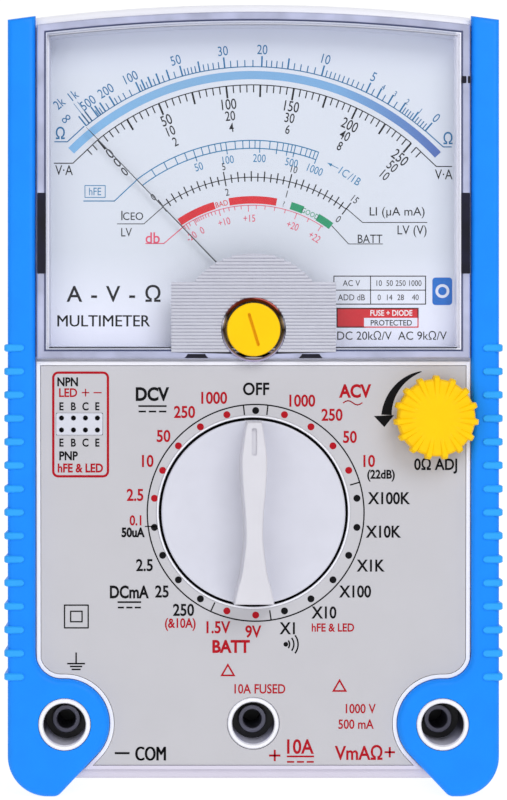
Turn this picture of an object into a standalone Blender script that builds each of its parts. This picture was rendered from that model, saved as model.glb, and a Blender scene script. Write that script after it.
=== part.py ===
"""Analog multimeter, standing upright on its two lower grip lobes.

The front faces -Y, +X is to the right of someone reading the scale, and +Z is up. The origin is
the centre of the bottom of the bounding box. Front-view outlines are lists of (x, z) points, and
turned profiles are lists of (radius, height) points whose height grows towards the reader.
"""

import math

import bmesh
import bpy
from mathutils import Matrix, Vector

MM = 0.001
GAP = 0.3 * MM

# Depths along Y, from the reader to the back.
KNOB_FRONT = -22.0 * MM
GRIP_FRONT = -16.5 * MM
LENS_FRONT = -16.2 * MM
PANEL_FRONT = -14.0 * MM
WALL = 2.2 * MM
PARTING = 4.7 * MM
GRIP_STEP = 19.5 * MM
BACK = 22.0 * MM

# The housing seen from the front.
CASE_HALF_WIDTH = 49.7 * MM
CASE_BOTTOM = 3.4 * MM
CASE_TOP = 168.3 * MM
ARCH_RADIUS = 385.0 * MM
CASE_CORNER = 7.5 * MM
GRIP_HALF_WIDTH = 52.1 * MM
GRIP_INNER = 46.2 * MM
GRIP_TOP = 165.5 * MM
GRIP_TOP_DROP = 0.8 * MM
GRIP_FILLET = 5.5 * MM
LOBE_RADIUS = 9.5 * MM
LOBE_LOWER_ANGLE = -44.0
FOOT_INNER = 41.5 * MM
FOOT_TOE = 42.4 * MM
FOOT_RADIUS = 8.5 * MM
RIB_COUNT = 15
RIB_PITCH = 4.97 * MM
RIB_FIRST = 25.5 * MM
RIB_HALF_WIDTH = 52.8 * MM
RIB_INNER = 48.3 * MM
RIB_THICK = 1.6 * MM
RIB_PROUD = 0.4 * MM

# The lower panel.
LABEL_HALF_WIDTH = 45.1 * MM
LABEL_BOTTOM = 6.6 * MM
LABEL_TOP = 91.3 * MM
JACK_Z = 15.4 * MM
JACK_SPACING = 40.0 * MM
SHROUD_RADIUS = 5.5 * MM
JACK_BORE_RADIUS = 4.5 * MM
JACK_BACK = 7.0 * MM
CONTACT_FRONT = -7.5 * MM
SELECTOR = (0.0, 60.25 * MM)
SELECTOR_RADIUS = 19.5 * MM
SELECTOR_OPENING = 19.8 * MM
SELECTOR_COLLAR = 20.4 * MM
MARK_BOTTOM = 12.2 * MM
MARK_TOP = 18.0 * MM
POSITIONS = 22
ROTOR_RADIUS = 20.6 * MM
OHM_KNOB = (38.4 * MM, 80.35 * MM)
OHM_KNOB_RIBS = 15
OHM_KNOB_RADIUS = 8.15 * MM
OHM_RIB_RADIUS = 8.9 * MM
OHM_KNOB_FRONT = -20.8 * MM
OHM_KNOB_BACK = -16.9 * MM
OHM_SHAFT_OPENING = 3.4 * MM
SOCKET = (-36.9 * MM, 78.95 * MM)
SOCKET_PITCH = 2.54 * MM
SOCKET_HALF_WIDTH = 4.9 * MM
SOCKET_HALF_HEIGHT = 2.3 * MM

# The meter.
PIVOT = (0.0, 98.95 * MM)
LENS_HALF_WIDTH = 45.9 * MM
LENS_BOTTOM = 92.8 * MM
LENS_TOP = 166.3 * MM
WINDOW_HALF_WIDTH = 43.4 * MM
WINDOW_BOTTOM = 94.2 * MM
WINDOW_TOP = 163.9 * MM
DIAL_FRONT = -9.6 * MM
POINTER_BEND = (-3.34 * MM, 9.96 * MM)
POINTER_TIP = (-35.6 * MM, 43.4 * MM)
CAP_RADIUS = 5.7 * MM
CAP_RECESS_RADIUS = 6.7 * MM
CAP_SLOT_TILT = -17.0
BAND_HALF_WIDTH = 17.4 * MM
BAND_BOTTOM = -4.8 * MM
BAND_SHOULDER = 9.95 * MM
DOME_RADIUS = 16.1 * MM
POST_OFFSET = 11.4 * MM

# The circuit board and the battery compartment behind it.
BOARD_FRONT = -2.6 * MM
BOARD_THICK = 1.6 * MM
BAY_FLOOR = 0.9 * MM
BAY_HALF_WIDTH = 29.85 * MM
BAY_BOTTOM = 22.6 * MM
BAY_TOP = 78.6 * MM
COVER_HALF_WIDTH = 32.0 * MM
COVER_BOTTOM = 21.2 * MM
COVER_TOP = 84.6 * MM
COVER_FRONT = 20.0 * MM
COVER_SCREW_Z = 81.8 * MM
AA_RADIUS = 7.25 * MM
COVER_GROOVES = 5
LOWER_SCREW = (20.0 * MM, 12.0 * MM)
UPPER_SCREW = (44.6 * MM, 157.0 * MM)
SCREW_HOLE_RADIUS = 1.6 * MM
SCREW_HEAD_OPENING = 3.1 * MM

FACE_READER = (math.pi / 2, 0.0, 0.0)


# ---------------------------------------------------------------- helpers


def clear_scene():
    for obj in list(bpy.data.objects):
        bpy.data.objects.remove(obj)


def new_collection(name):
    collection = bpy.data.collections.new(name)
    bpy.context.scene.collection.children.link(collection)
    return collection


def paint(name, colour, roughness, metallic=0.0, alpha=1.0):
    material = bpy.data.materials.new(name)
    material.use_nodes = True
    shader = material.node_tree.nodes["Principled BSDF"]
    shader.inputs["Base Color"].default_value = (*colour, 1.0)
    shader.inputs["Roughness"].default_value = roughness
    shader.inputs["Metallic"].default_value = metallic
    shader.inputs["Alpha"].default_value = alpha
    return material


def add_object(name, mesh, place, collection, material=None):
    obj = bpy.data.objects.new(name, mesh)
    obj.location = place
    obj.rotation_euler = FACE_READER
    collection.objects.link(obj)
    if material:
        mesh.materials.append(material)
    return obj


def as_cutter(obj):
    obj.hide_render = True
    obj.display_type = "WIRE"
    for holder in list(obj.users_collection):
        holder.objects.unlink(obj)
    CUTTERS.objects.link(obj)
    return obj


def spread(start, end, steps):
    return [start + (end - start) * i / steps for i in range(steps + 1)]


def arc(centre, radius, start, end, steps):
    """Points on an arc, with angles in degrees counted from +X towards +Z."""
    turns = [math.radians(a) for a in spread(start, end, steps)]
    return [(centre[0] + radius * math.cos(t), centre[1] + radius * math.sin(t)) for t in turns]


def circle(radius, steps=32, centre=(0.0, 0.0)):
    return arc(centre, radius, 0.0, 360.0, steps)[:-1]


def arched_top(half_width, peak, steps=12):
    """Points along the shallow arch that tops the housing, the lens and the dial, right to left."""
    xs = spread(half_width, -half_width, steps)
    return [(x, peak - x * x / (2.0 * ARCH_RADIUS)) for x in xs]


def rectangle(low, high):
    return [(low[0], low[1]), (high[0], low[1]), (high[0], high[1]), (low[0], high[1])]


def prism(name, outlines, front, back, material=None, centre=(0.0, 0.0)):
    """A solid with the given outlines, from the depth front to the depth back.

    The first outline is the outer one and the others are holes. They are relative to centre.
    """
    curve = bpy.data.curves.new(name + "_outline", "CURVE")
    curve.dimensions = "2D"
    curve.fill_mode = "BOTH"
    curve.extrude = (back - front) / 2.0
    for outline in outlines:
        spline = curve.splines.new("POLY")
        spline.points.add(len(outline) - 1)
        for point, (x, z) in zip(spline.points, outline):
            point.co = (x, z, 0.0, 1.0)
        spline.use_cyclic_u = True
    guide = bpy.data.objects.new(name + "_guide", curve)
    PARTS.objects.link(guide)
    mesh = solid_mesh_of(guide, name, flatten=True)
    place = (centre[0], (front + back) / 2.0, centre[1])
    return add_object(name, mesh, place, PARTS, material)


def solid_mesh_of(guide, name, flatten=False):
    """The closed mesh of a curve object, which is then removed."""
    bpy.context.view_layer.update()
    graph = bpy.context.evaluated_depsgraph_get()
    mesh = bpy.data.meshes.new_from_object(guide.evaluated_get(graph))
    mesh.name = name
    bm = bmesh.new()
    bm.from_mesh(mesh)
    bmesh.ops.remove_doubles(bm, verts=bm.verts, dist=1e-6)
    if flatten:
        bmesh.ops.dissolve_limit(bm, angle_limit=0.01, verts=bm.verts, edges=bm.edges)
    bmesh.ops.recalc_face_normals(bm, faces=bm.faces)
    bm.to_mesh(mesh)
    bm.free()
    curve = guide.data
    bpy.data.objects.remove(guide)
    bpy.data.curves.remove(curve)
    return mesh


def wire(name, points, radius, material):
    """A round wire through points given in the reader's frame, relative to the world's origin."""
    curve = bpy.data.curves.new(name + "_path", "CURVE")
    curve.dimensions = "3D"
    curve.bevel_depth = radius
    curve.bevel_resolution = 0
    curve.use_fill_caps = True
    spline = curve.splines.new("POLY")
    spline.points.add(len(points) - 1)
    for point, place in zip(spline.points, points):
        point.co = (*place, 1.0)
    guide = bpy.data.objects.new(name + "_guide", curve)
    PARTS.objects.link(guide)
    mesh = solid_mesh_of(guide, name)
    obj = add_object(name, mesh, (0.0, 0.0, 0.0), PARTS, material)
    obj.rotation_euler = (0.0, 0.0, 0.0)
    return obj


def turned(name, profile, place, material=None, steps=24, ring=False):
    """A body turned about the depth axis through place; ring closes a profile that skips the axis."""
    mesh = bpy.data.meshes.new(name)
    links = [(i, i + 1) for i in range(len(profile) - 1)]
    if ring:
        links.append((len(profile) - 1, 0))
    mesh.from_pydata([(radius, 0.0, height) for radius, height in profile], links, [])
    obj = add_object(name, mesh, place, PARTS, material)
    screw = obj.modifiers.new("turn", "SCREW")
    screw.steps = steps
    screw.render_steps = steps
    screw.use_merge_vertices = True
    screw.merge_threshold = 1e-6
    screw.use_smooth_shade = True
    return obj


def box(name, low, high, material=None):
    bpy.ops.mesh.primitive_cube_add(size=1.0)
    obj = bpy.context.active_object
    obj.name = name
    obj.data.name = name
    size = Vector(high) - Vector(low)
    obj.data.transform(Matrix.Diagonal((*size, 1.0)))
    obj.location = (Vector(low) + Vector(high)) / 2.0
    for holder in list(obj.users_collection):
        holder.objects.unlink(obj)
    PARTS.objects.link(obj)
    if material:
        obj.data.materials.append(material)
    return obj


def combine(target, other, operation):
    as_cutter(other)
    step = target.modifiers.new(other.name, "BOOLEAN")
    step.operation = operation
    step.object = other
    step.solver = "EXACT"


def cut(target, *cutters):
    for cutter in cutters:
        combine(target, cutter, "DIFFERENCE")


def join(target, *others):
    for other in others:
        combine(target, other, "UNION")


def bevel_face_edge(obj, at_front, width, segments):
    """Rounds the outline of a prism's front or back face."""
    height = max(v.co.z for v in obj.data.vertices)
    wanted = height if at_front else -height
    weights = obj.data.attributes.new("bevel_weight_edge", "FLOAT", "EDGE")
    for edge in obj.data.edges:
        ends = [obj.data.vertices[i].co.z for i in edge.vertices]
        on_face = all(abs(z - wanted) < 1e-6 for z in ends)
        weights.data[edge.index].value = 1.0 if on_face else 0.0
    bevel = obj.modifiers.new("rounding", "BEVEL")
    bevel.limit_method = "WEIGHT"
    bevel.width = width
    bevel.segments = segments


def joint_axis(name, place):
    empty = bpy.data.objects.new(name, None)
    empty.location = place
    empty.empty_display_size = 10.0 * MM
    PARTS.objects.link(empty)
    return empty


def hang_on(empty, *objects):
    for obj in objects:
        obj.parent = empty
        obj.matrix_parent_inverse = Matrix.Translation(-Vector(empty.location))


def at(spot, depth):
    """The world place of a front-view spot at a depth."""
    return (spot[0], depth, spot[1])


# ---------------------------------------------------------------- outlines


def case_outline(inset=0.0):
    """The housing's outline, moved inwards by inset."""
    side = CASE_HALF_WIDTH - inset
    bottom = CASE_BOTTOM + inset
    corner = CASE_CORNER - inset
    right = arc((side - corner, bottom + corner), corner, -90.0, 0.0, 5)
    left = [(-x, z) for x, z in reversed(right)]
    return right + arched_top(side, CASE_TOP - inset) + left


def grip_outline(side, grow=0.0):
    """The grip's outline; grow moves only its inner boundary, towards the middle of the meter."""
    inner = GRIP_INNER - grow
    lobe = LOBE_RADIUS + grow
    fillet = GRIP_FILLET - grow
    centre = (JACK_SPACING, JACK_Z)
    fillet_x = inner - fillet
    fillet_z = JACK_Z + math.sqrt((lobe + fillet) ** 2 - (fillet_x - JACK_SPACING) ** 2)
    lobe_top = math.degrees(math.atan2(fillet_z - JACK_Z, fillet_x - JACK_SPACING))
    points = [(inner, GRIP_TOP + grow)]
    points += arc((fillet_x, fillet_z), fillet, 0.0, lobe_top - 180.0, 6)
    points += arc(centre, lobe, lobe_top, 180.0 - LOBE_LOWER_ANGLE, 12)
    slant = math.radians(LOBE_LOWER_ANGLE)
    foot = FOOT_INNER - grow / math.cos(slant)
    toe_radius = (FOOT_TOE - foot) / math.tan((math.radians(90.0) + slant) / 2.0)
    points += arc((FOOT_TOE, toe_radius), toe_radius, 180.0 - LOBE_LOWER_ANGLE, 270.0, 3)
    points += arc((GRIP_HALF_WIDTH - FOOT_RADIUS, FOOT_RADIUS), FOOT_RADIUS, -90.0, 0.0, 9)
    points += [(GRIP_HALF_WIDTH, GRIP_TOP - GRIP_TOP_DROP + grow)]
    return [(side * x, z) for x, z in points]


def lens_outline(inset=0.0):
    side = LENS_HALF_WIDTH - inset
    top = arched_top(side, LENS_TOP - inset)
    return [(-side, LENS_BOTTOM + inset), (side, LENS_BOTTOM + inset)] + top


def window_outline(inset=0.0):
    side = WINDOW_HALF_WIDTH - inset
    top = arched_top(side, WINDOW_TOP - inset)
    return [(-side, WINDOW_BOTTOM + inset), (side, WINDOW_BOTTOM + inset)] + top


# ---------------------------------------------------------------- housing


def jack_spots():
    return [(-JACK_SPACING, JACK_Z), (0.0, JACK_Z), (JACK_SPACING, JACK_Z)]


def screw_spots():
    """The names and front-view centres of the four screws that hold the housing's halves together."""
    return [(f"{height}_{label}", (side * x, z))
            for height, (x, z) in (("lower", LOWER_SCREW), ("upper", UPPER_SCREW))
            for side, label in ((-1, "left"), (1, "right"))]


def socket_outline(clearance=0.0):
    half_width = SOCKET_HALF_WIDTH + clearance
    half_height = SOCKET_HALF_HEIGHT + clearance
    return rectangle((-half_width, -half_height), (half_width, half_height))


def detent_ring():
    """A ring behind the panel, scalloped inside with one notch for each range position."""
    steps_per_notch = 4
    count = POSITIONS * steps_per_notch
    inner = []
    for i in range(count):
        turn = 2.0 * math.pi * i / count
        radius = 22.1 * MM + 0.3 * MM * math.cos(POSITIONS * turn)
        inner.append((radius * math.sin(turn), radius * math.cos(turn)))
    outer = circle(24.0 * MM, 44)
    return prism("detent_ring", [outer, inner], PANEL_FRONT + 1.5 * MM, -9.0 * MM, centre=SELECTOR)


def make_front_case():
    case = prism("front_case", [case_outline()], PANEL_FRONT, PARTING, WHITE)
    bevel_face_edge(case, True, 2.2 * MM, 3)
    inside = PANEL_FRONT + WALL
    cut(case, prism("front_hollow", [case_outline(WALL)], inside, PARTING + 1.0 * MM))
    posts = []
    for label, centre in screw_spots():
        front = inside - 1.0 * MM if label.startswith("lower") else -8.0 * MM
        posts.append(prism(f"{label}_post", [circle(3.2 * MM, 16)], front, PARTING, centre=centre))
    join(case, detent_ring(), *posts)
    for label, centre in screw_spots():
        pilot = [circle(SCREW_HOLE_RADIUS, 12)]
        cut(case, prism(f"{label}_pilot", pilot, -6.0 * MM, PARTING + 1.0 * MM, centre=centre))
    through = (PANEL_FRONT - 1.0 * MM, inside + 0.5 * MM)
    cut(case, prism("window_opening", [window_outline()], *through))
    cut(case, prism("selector_opening", [circle(SELECTOR_OPENING, 48)], *through, centre=SELECTOR))
    cut(case, prism("ohm_shaft_hole", [circle(OHM_SHAFT_OPENING, 16)], *through, centre=OHM_KNOB))
    cut(case, prism("socket_opening", [socket_outline(GAP)], *through, centre=SOCKET))
    for number, spot in enumerate(jack_spots(), 1):
        hole = [circle(SHROUD_RADIUS + GAP, 24)]
        cut(case, prism(f"jack_opening_{number}", hole, *through, centre=spot))
    return case


def make_rear_case():
    case = prism("rear_case", [case_outline()], PARTING + GAP, BACK, WHITE)
    bevel_face_edge(case, False, 2.0 * MM, 3)
    step_back = GRIP_STEP - WALL
    cut(case, prism("rear_hollow", [case_outline(WALL)], PARTING - 1.0 * MM, step_back))
    deep_low = (-GRIP_INNER + 2.8 * MM, step_back - 2.0 * MM, 33.0 * MM)
    deep_high = (GRIP_INNER - 2.8 * MM, BACK - WALL, 162.0 * MM)
    cut(case, box("rear_hollow_deep", deep_low, deep_high))
    block_low = (-33.5 * MM, -0.3 * MM, 19.9 * MM)
    block_high = (33.5 * MM, BACK - 0.5 * MM, 85.9 * MM)
    join(case, box("battery_block", block_low, block_high))
    for side, label in ((-1, "left"), (1, "right")):
        channel = [grip_outline(side, GAP)]
        cut(case, prism(f"grip_step_{label}", channel, GRIP_STEP, BACK + 1.0 * MM))
    floor = BAY_FLOOR
    far = BACK + 1.0 * MM
    cut(case, box("aa_pocket", (-BAY_HALF_WIDTH, floor, BAY_BOTTOM), (0.55 * MM, far, BAY_TOP)))
    cut(case, box("nine_volt_pocket", (2.55 * MM, floor, BAY_BOTTOM), (BAY_HALF_WIDTH, far, BAY_TOP)))
    recess_low = (-COVER_HALF_WIDTH - GAP, COVER_FRONT - GAP, COVER_BOTTOM - GAP)
    recess_high = (COVER_HALF_WIDTH + GAP, far, COVER_TOP + GAP)
    cut(case, box("cover_recess", recess_low, recess_high))
    pilot = [circle(SCREW_HOLE_RADIUS, 12)]
    cut(case, prism("cover_screw_pilot", pilot, 10.0 * MM, far, centre=(0.0, COVER_SCREW_Z)))
    for label, centre in screw_spots():
        pillar = prism(f"{label}_pillar", [circle(4.2 * MM, 20)], PARTING + 2.0 * GAP, GRIP_STEP - 1.0 * MM,
                       centre=centre)
        join(case, pillar)
    for label, centre in screw_spots():
        shank = [circle(SCREW_HOLE_RADIUS, 12)]
        head = [circle(SCREW_HEAD_OPENING, 16)]
        cut(case, prism(f"{label}_shank", shank, 4.0 * MM, 18.0 * MM, centre=centre))
        cut(case, prism(f"{label}_head", head, 14.0 * MM, far, centre=centre))
    return case


def make_grip(side, label):
    """A rubber channel that wraps the housing's edge, with ribs round its outer side."""
    back = BACK - GAP
    grip = prism(f"{label}_grip", [grip_outline(side)], GRIP_FRONT, back, BLUE)
    front = GRIP_FRONT - RIB_PROUD
    for number in range(RIB_COUNT):
        middle = RIB_FIRST + number * RIB_PITCH
        xs = sorted((side * RIB_INNER, side * RIB_HALF_WIDTH))
        low = (xs[0], front, middle - RIB_THICK / 2.0)
        high = (xs[1], BACK - GAP - 1.0 * MM, middle + RIB_THICK / 2.0)
        join(grip, box(f"{label}_rib_{number + 1}", low, high))
    channel = [case_outline(-GAP)]
    cut(grip, prism(f"{label}_channel", channel, PANEL_FRONT - GAP, GRIP_STEP + GAP))
    hole = [circle(SHROUD_RADIUS + GAP, 24)]
    centre = (side * JACK_SPACING, JACK_Z)
    cut(grip, prism(f"{label}_jack_hole", hole, GRIP_FRONT - 1.0 * MM, 0.0, centre=centre))
    centre = (side * UPPER_SCREW[0], UPPER_SCREW[1])
    access = [circle(SCREW_HEAD_OPENING + GAP, 16)]
    cut(grip, prism(f"{label}_screw_access", access, 15.0 * MM, BACK + 1.0 * MM, centre=centre))
    return grip


def make_panel_label():
    """The printed sheet: a rectangle whose lower corners are cut back round the grip lobes."""
    bottom_right = grip_outline(1, 1.0 * MM)
    below_knobs = 40.0 * MM
    edge = [(x, z) for x, z in bottom_right if x < LABEL_HALF_WIDTH and LABEL_BOTTOM < z < below_knobs]
    slant = math.tan(math.radians(90.0 + LOBE_LOWER_ANGLE))
    last = edge[-1]
    corner = (last[0] - (LABEL_BOTTOM - last[1]) / slant, LABEL_BOTTOM)
    right = [(LABEL_HALF_WIDTH, LABEL_TOP)] + edge + [corner]
    left = [(-x, z) for x, z in reversed(right)]
    holes = [
        circle(SELECTOR_COLLAR, 48, SELECTOR),
        circle(OHM_SHAFT_OPENING + 0.2 * MM, 16, OHM_KNOB),
        circle(SHROUD_RADIUS + GAP, 24, (0.0, JACK_Z)),
        [(SOCKET[0] + x, SOCKET[1] + z) for x, z in socket_outline(GAP)],
    ]
    front = PANEL_FRONT - GAP - 0.4 * MM
    return prism("panel_label", [right + left] + holes, front, PANEL_FRONT - GAP, GREY)


def make_lens():
    front = LENS_FRONT
    lens = prism("meter_lens", [lens_outline()], front, PANEL_FRONT - GAP, CLEAR)
    cut(lens, prism("lens_hollow", [window_outline(1.3 * MM)], front + 1.6 * MM, -10.0 * MM))
    skirt = [window_outline(GAP), window_outline(1.3 * MM)]
    join(lens, prism("lens_skirt", skirt, PANEL_FRONT - 1.0 * MM, -12.3 * MM))
    band = [(-BAND_HALF_WIDTH, BAND_BOTTOM), (BAND_HALF_WIDTH, BAND_BOTTOM)]
    band += [(BAND_HALF_WIDTH, BAND_SHOULDER)]
    rise = math.degrees(math.asin(BAND_SHOULDER / DOME_RADIUS))
    band += arc((0.0, 0.0), DOME_RADIUS, rise, 180.0 - rise, 16)
    band += [(-BAND_HALF_WIDTH, BAND_SHOULDER)]
    join(lens, prism("lens_band", [band], front - 0.5 * MM, front + 0.8 * MM, centre=PIVOT))
    recess = [circle(CAP_RECESS_RADIUS, 32)]
    cut(lens, prism("cap_recess", recess, front - 1.0 * MM, front + 0.8 * MM, centre=PIVOT))
    cut(lens, prism("cap_hole", [circle(3.2 * MM, 16)], front, front + 3.0 * MM, centre=PIVOT))
    return lens


# ---------------------------------------------------------------- meter movement


def make_dial_plate():
    plate = window_outline(-1.2 * MM)
    dial = prism("dial_plate", [plate], DIAL_FRONT, DIAL_FRONT + 0.5 * MM, DIAL_WHITE)
    cut(dial, prism("dial_cutout", [circle(13.0 * MM, 32)], -12.0 * MM, -8.0 * MM, centre=PIVOT))
    return dial


def make_movement():
    """The fixed iron and frame of a core-magnet movement, from front to back."""
    ring = [(8.2 * MM, 0.0), (10.2 * MM, 0.0), (10.2 * MM, -12.4 * MM), (8.2 * MM, -12.4 * MM)]
    turned("yoke_ring", ring, at(PIVOT, -3.0 * MM), STEEL, ring=True)
    core = [(0.0, 0.0), (5.0 * MM, 0.0), (5.0 * MM, -8.0 * MM), (0.0, -8.0 * MM)]
    turned("core_magnet", core, at(PIVOT, -3.0 * MM), STEEL)
    box("core_holder", (-1.6 * MM, -2.0 * MM, PIVOT[1] - 7.8 * MM),
        (1.6 * MM, 4.0 * MM, PIVOT[1] - 5.4 * MM), BRASS)
    frame = prism("movement_frame", [circle(12.6 * MM, 32), circle(1.9 * MM, 16)],
                  9.8 * MM, 11.4 * MM, ALUMINIUM, centre=PIVOT)
    posts = [prism(f"frame_post_{label}", [circle(1.0 * MM, 12)], -11.4 * MM, 10.5 * MM,
                   centre=(side * POST_OFFSET, PIVOT[1])) for side, label in ((-1, "left"), (1, "right"))]
    join(frame, *posts)
    bridge_outline = arc((POST_OFFSET, 0.0), 1.6 * MM, -90.0, 90.0, 6)
    bridge_outline += arc((0.0, 0.0), 3.0 * MM, 50.0, 130.0, 6)
    bridge_outline += arc((-POST_OFFSET, 0.0), 1.6 * MM, 90.0, 270.0, 6)
    bridge_outline += arc((0.0, 0.0), 3.0 * MM, 230.0, 310.0, 6)
    prism("front_bridge", [bridge_outline, circle(1.9 * MM, 16)], -12.9 * MM, -11.7 * MM, BRASS, PIVOT)
    for name, depth, direction in (("front_jewel_screw", -13.1, 1.0), ("rear_jewel_screw", 14.0, -1.0)):
        length = 1.7 * MM if direction > 0 else 3.8 * MM
        shape = [(0.0, 0.0), (1.6 * MM, 0.0), (1.6 * MM, -length), (0.85 * MM, -length),
                 (0.85 * MM, 0.9 * MM - length), (0.0, 0.9 * MM - length)]
        if direction < 0:
            shape = [(radius, -height) for radius, height in reversed(shape)]
        turned(name, shape, at(PIVOT, depth * MM), BRASS, steps=16)
    for name, depth in (("front_hairspring", -7.8), ("rear_hairspring", 8.7)):
        turns = [2.0 * math.pi * i / 12 for i in range(31)]
        spiral = []
        for turn in turns:
            radius = 1.2 * MM + 0.16 * MM * turn
            spiral.append((radius * math.cos(turn), depth * MM, PIVOT[1] + radius * math.sin(turn)))
        wire(name, spiral, 0.12 * MM, BRASS)


def along(direction, distance, sideways):
    """A point at a distance along a unit direction and to its left."""
    return (direction[0] * distance - direction[1] * sideways,
            direction[1] * distance + direction[0] * sideways)


def pointer_outline():
    """A cranked needle: a short arm from the hub, then a long straight needle, and a balance cross."""
    arm = Vector(POINTER_BEND).normalized()
    needle = (Vector(POINTER_TIP) - Vector(POINTER_BEND)).normalized()
    reach = Vector(POINTER_BEND).length
    length = (Vector(POINTER_TIP) - Vector(POINTER_BEND)).length
    wide = 0.3 * MM
    slim = 0.14 * MM
    hub = 1.7 * MM
    cross = 4.6 * MM
    on_needle = [(POINTER_BEND[0] + dx, POINTER_BEND[1] + dz) for dx, dz in
                 (along(needle, length, -slim), along(needle, length, slim))]
    points = [along(arm, hub, -wide), along(arm, reach, -wide)]
    points += on_needle
    points += [along(arm, reach, wide), along(arm, hub, wide)]
    heading = math.atan2(arm[1], arm[0])
    for quarter in range(3):
        turn = heading + math.pi / 2.0 * (quarter + 1)
        way = (math.cos(turn), math.sin(turn))
        points += [along(way, hub, -wide), along(way, cross, -wide)]
        points += [along(way, cross, wide), along(way, hub, wide)]
    return points


def make_pointer():
    """Everything that swings with the coil."""
    front = -11.0 * MM
    outlines = [pointer_outline(), circle(0.8 * MM, 12)]
    pointer = prism("pointer", outlines, front, front + 0.4 * MM, BLACK, PIVOT)
    outer = rectangle((-7.6 * MM, -5.6 * MM), (7.6 * MM, 7.6 * MM))
    inner = rectangle((-6.0 * MM, -4.4 * MM), (6.0 * MM, 6.4 * MM))
    coil = prism("moving_coil", [outer, inner], -1.8 * MM, 1.8 * MM, COPPER)
    lean = math.atan2(POINTER_TIP[0], POINTER_TIP[1])
    coil.matrix_world = (Matrix.Translation(at(PIVOT, 0.0)) @ Matrix.Rotation(lean, 4, "Y"))
    rod = [(0.0, 0.0), (0.5 * MM, 0.0), (0.5 * MM, -6.1 * MM), (0.0, -6.1 * MM)]
    front_pivot = turned("front_pivot", rod, at(PIVOT, -12.0 * MM), STEEL, steps=12)
    rod = [(0.0, 0.0), (0.5 * MM, 0.0), (0.5 * MM, -3.0 * MM), (0.0, -3.0 * MM)]
    rear_pivot = turned("rear_pivot", rod, at(PIVOT, 7.9 * MM), STEEL, steps=12)
    arm = Vector(POINTER_BEND).normalized()
    weights = []
    for name, turn in (("tail_weight", math.pi), ("side_weight", math.pi / 2.0)):
        way = Matrix.Rotation(turn, 2) @ Vector(arm)
        spot = (PIVOT[0] + 5.6 * MM * way[0], PIVOT[1] + 5.6 * MM * way[1])
        bead = [(0.0, 0.4 * MM), (0.7 * MM, 0.4 * MM), (0.7 * MM, -0.4 * MM), (0.0, -0.4 * MM)]
        weights.append(turned(name, bead, at(spot, -10.8 * MM), BRASS, steps=12))
    hang_on(joint_axis("pointer_axis", at(PIVOT, 0.0)), pointer, coil, front_pivot, rear_pivot, *weights)


def make_zero_adjuster():
    """The slotted cap in the lens, and the lever that its pin turns to shift the front hairspring."""
    cap = turned("zero_adjust_cap",
                 [(0.0, 1.7 * MM), (5.2 * MM, 1.7 * MM), (CAP_RADIUS, 1.2 * MM), (CAP_RADIUS, 0.0),
                  (2.8 * MM, 0.0), (2.8 * MM, -1.5 * MM), (0.0, -1.5 * MM)],
                 at(PIVOT, -15.7 * MM), YELLOW, steps=40)
    slot = box("cap_slot", (-0.35 * MM, -18.0 * MM, -3.6 * MM), (0.35 * MM, -16.5 * MM, 3.6 * MM))
    slot.rotation_euler = (0.0, math.radians(CAP_SLOT_TILT), 0.0)
    slot.location.z = PIVOT[1]
    cut(cap, slot)
    pin_spot = (PIVOT[0], PIVOT[1] + 2.0 * MM)
    join(cap, prism("cap_pin", [circle(0.5 * MM, 10)], -14.5 * MM, -13.3 * MM, centre=pin_spot))
    lever_outline = arc((0.0, 0.0), 1.6 * MM, 150.0, 390.0, 12)
    lever_outline += [(1.4 * MM, 3.6 * MM), (0.8 * MM, 3.6 * MM), (0.8 * MM, 1.2 * MM)]
    lever_outline += [(-0.8 * MM, 1.2 * MM), (-0.8 * MM, 3.6 * MM), (-1.4 * MM, 3.6 * MM)]
    lever = prism("zero_lever", [lever_outline], -13.8 * MM, -13.4 * MM, BRASS, PIVOT)
    hang_on(joint_axis("zero_adjust_axis", at(PIVOT, -15.7 * MM)), cap, lever)


# ---------------------------------------------------------------- range switch and zero-ohm knob


def handle_outline():
    """The raised grip across the range knob: narrow at its pointer end, wide at its tail."""
    stations = ((18.6, 1.5), (15.5, 2.2), (11.5, 2.85), (6.0, 2.6), (-1.0, 2.15), (-7.0, 2.15),
                (-12.0, 2.7), (-16.0, 3.6), (-18.7, 4.2))
    right = [(half * MM, z * MM) for z, half in stations]
    left = [(-x, z) for x, z in reversed(right)]
    return right + left


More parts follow.
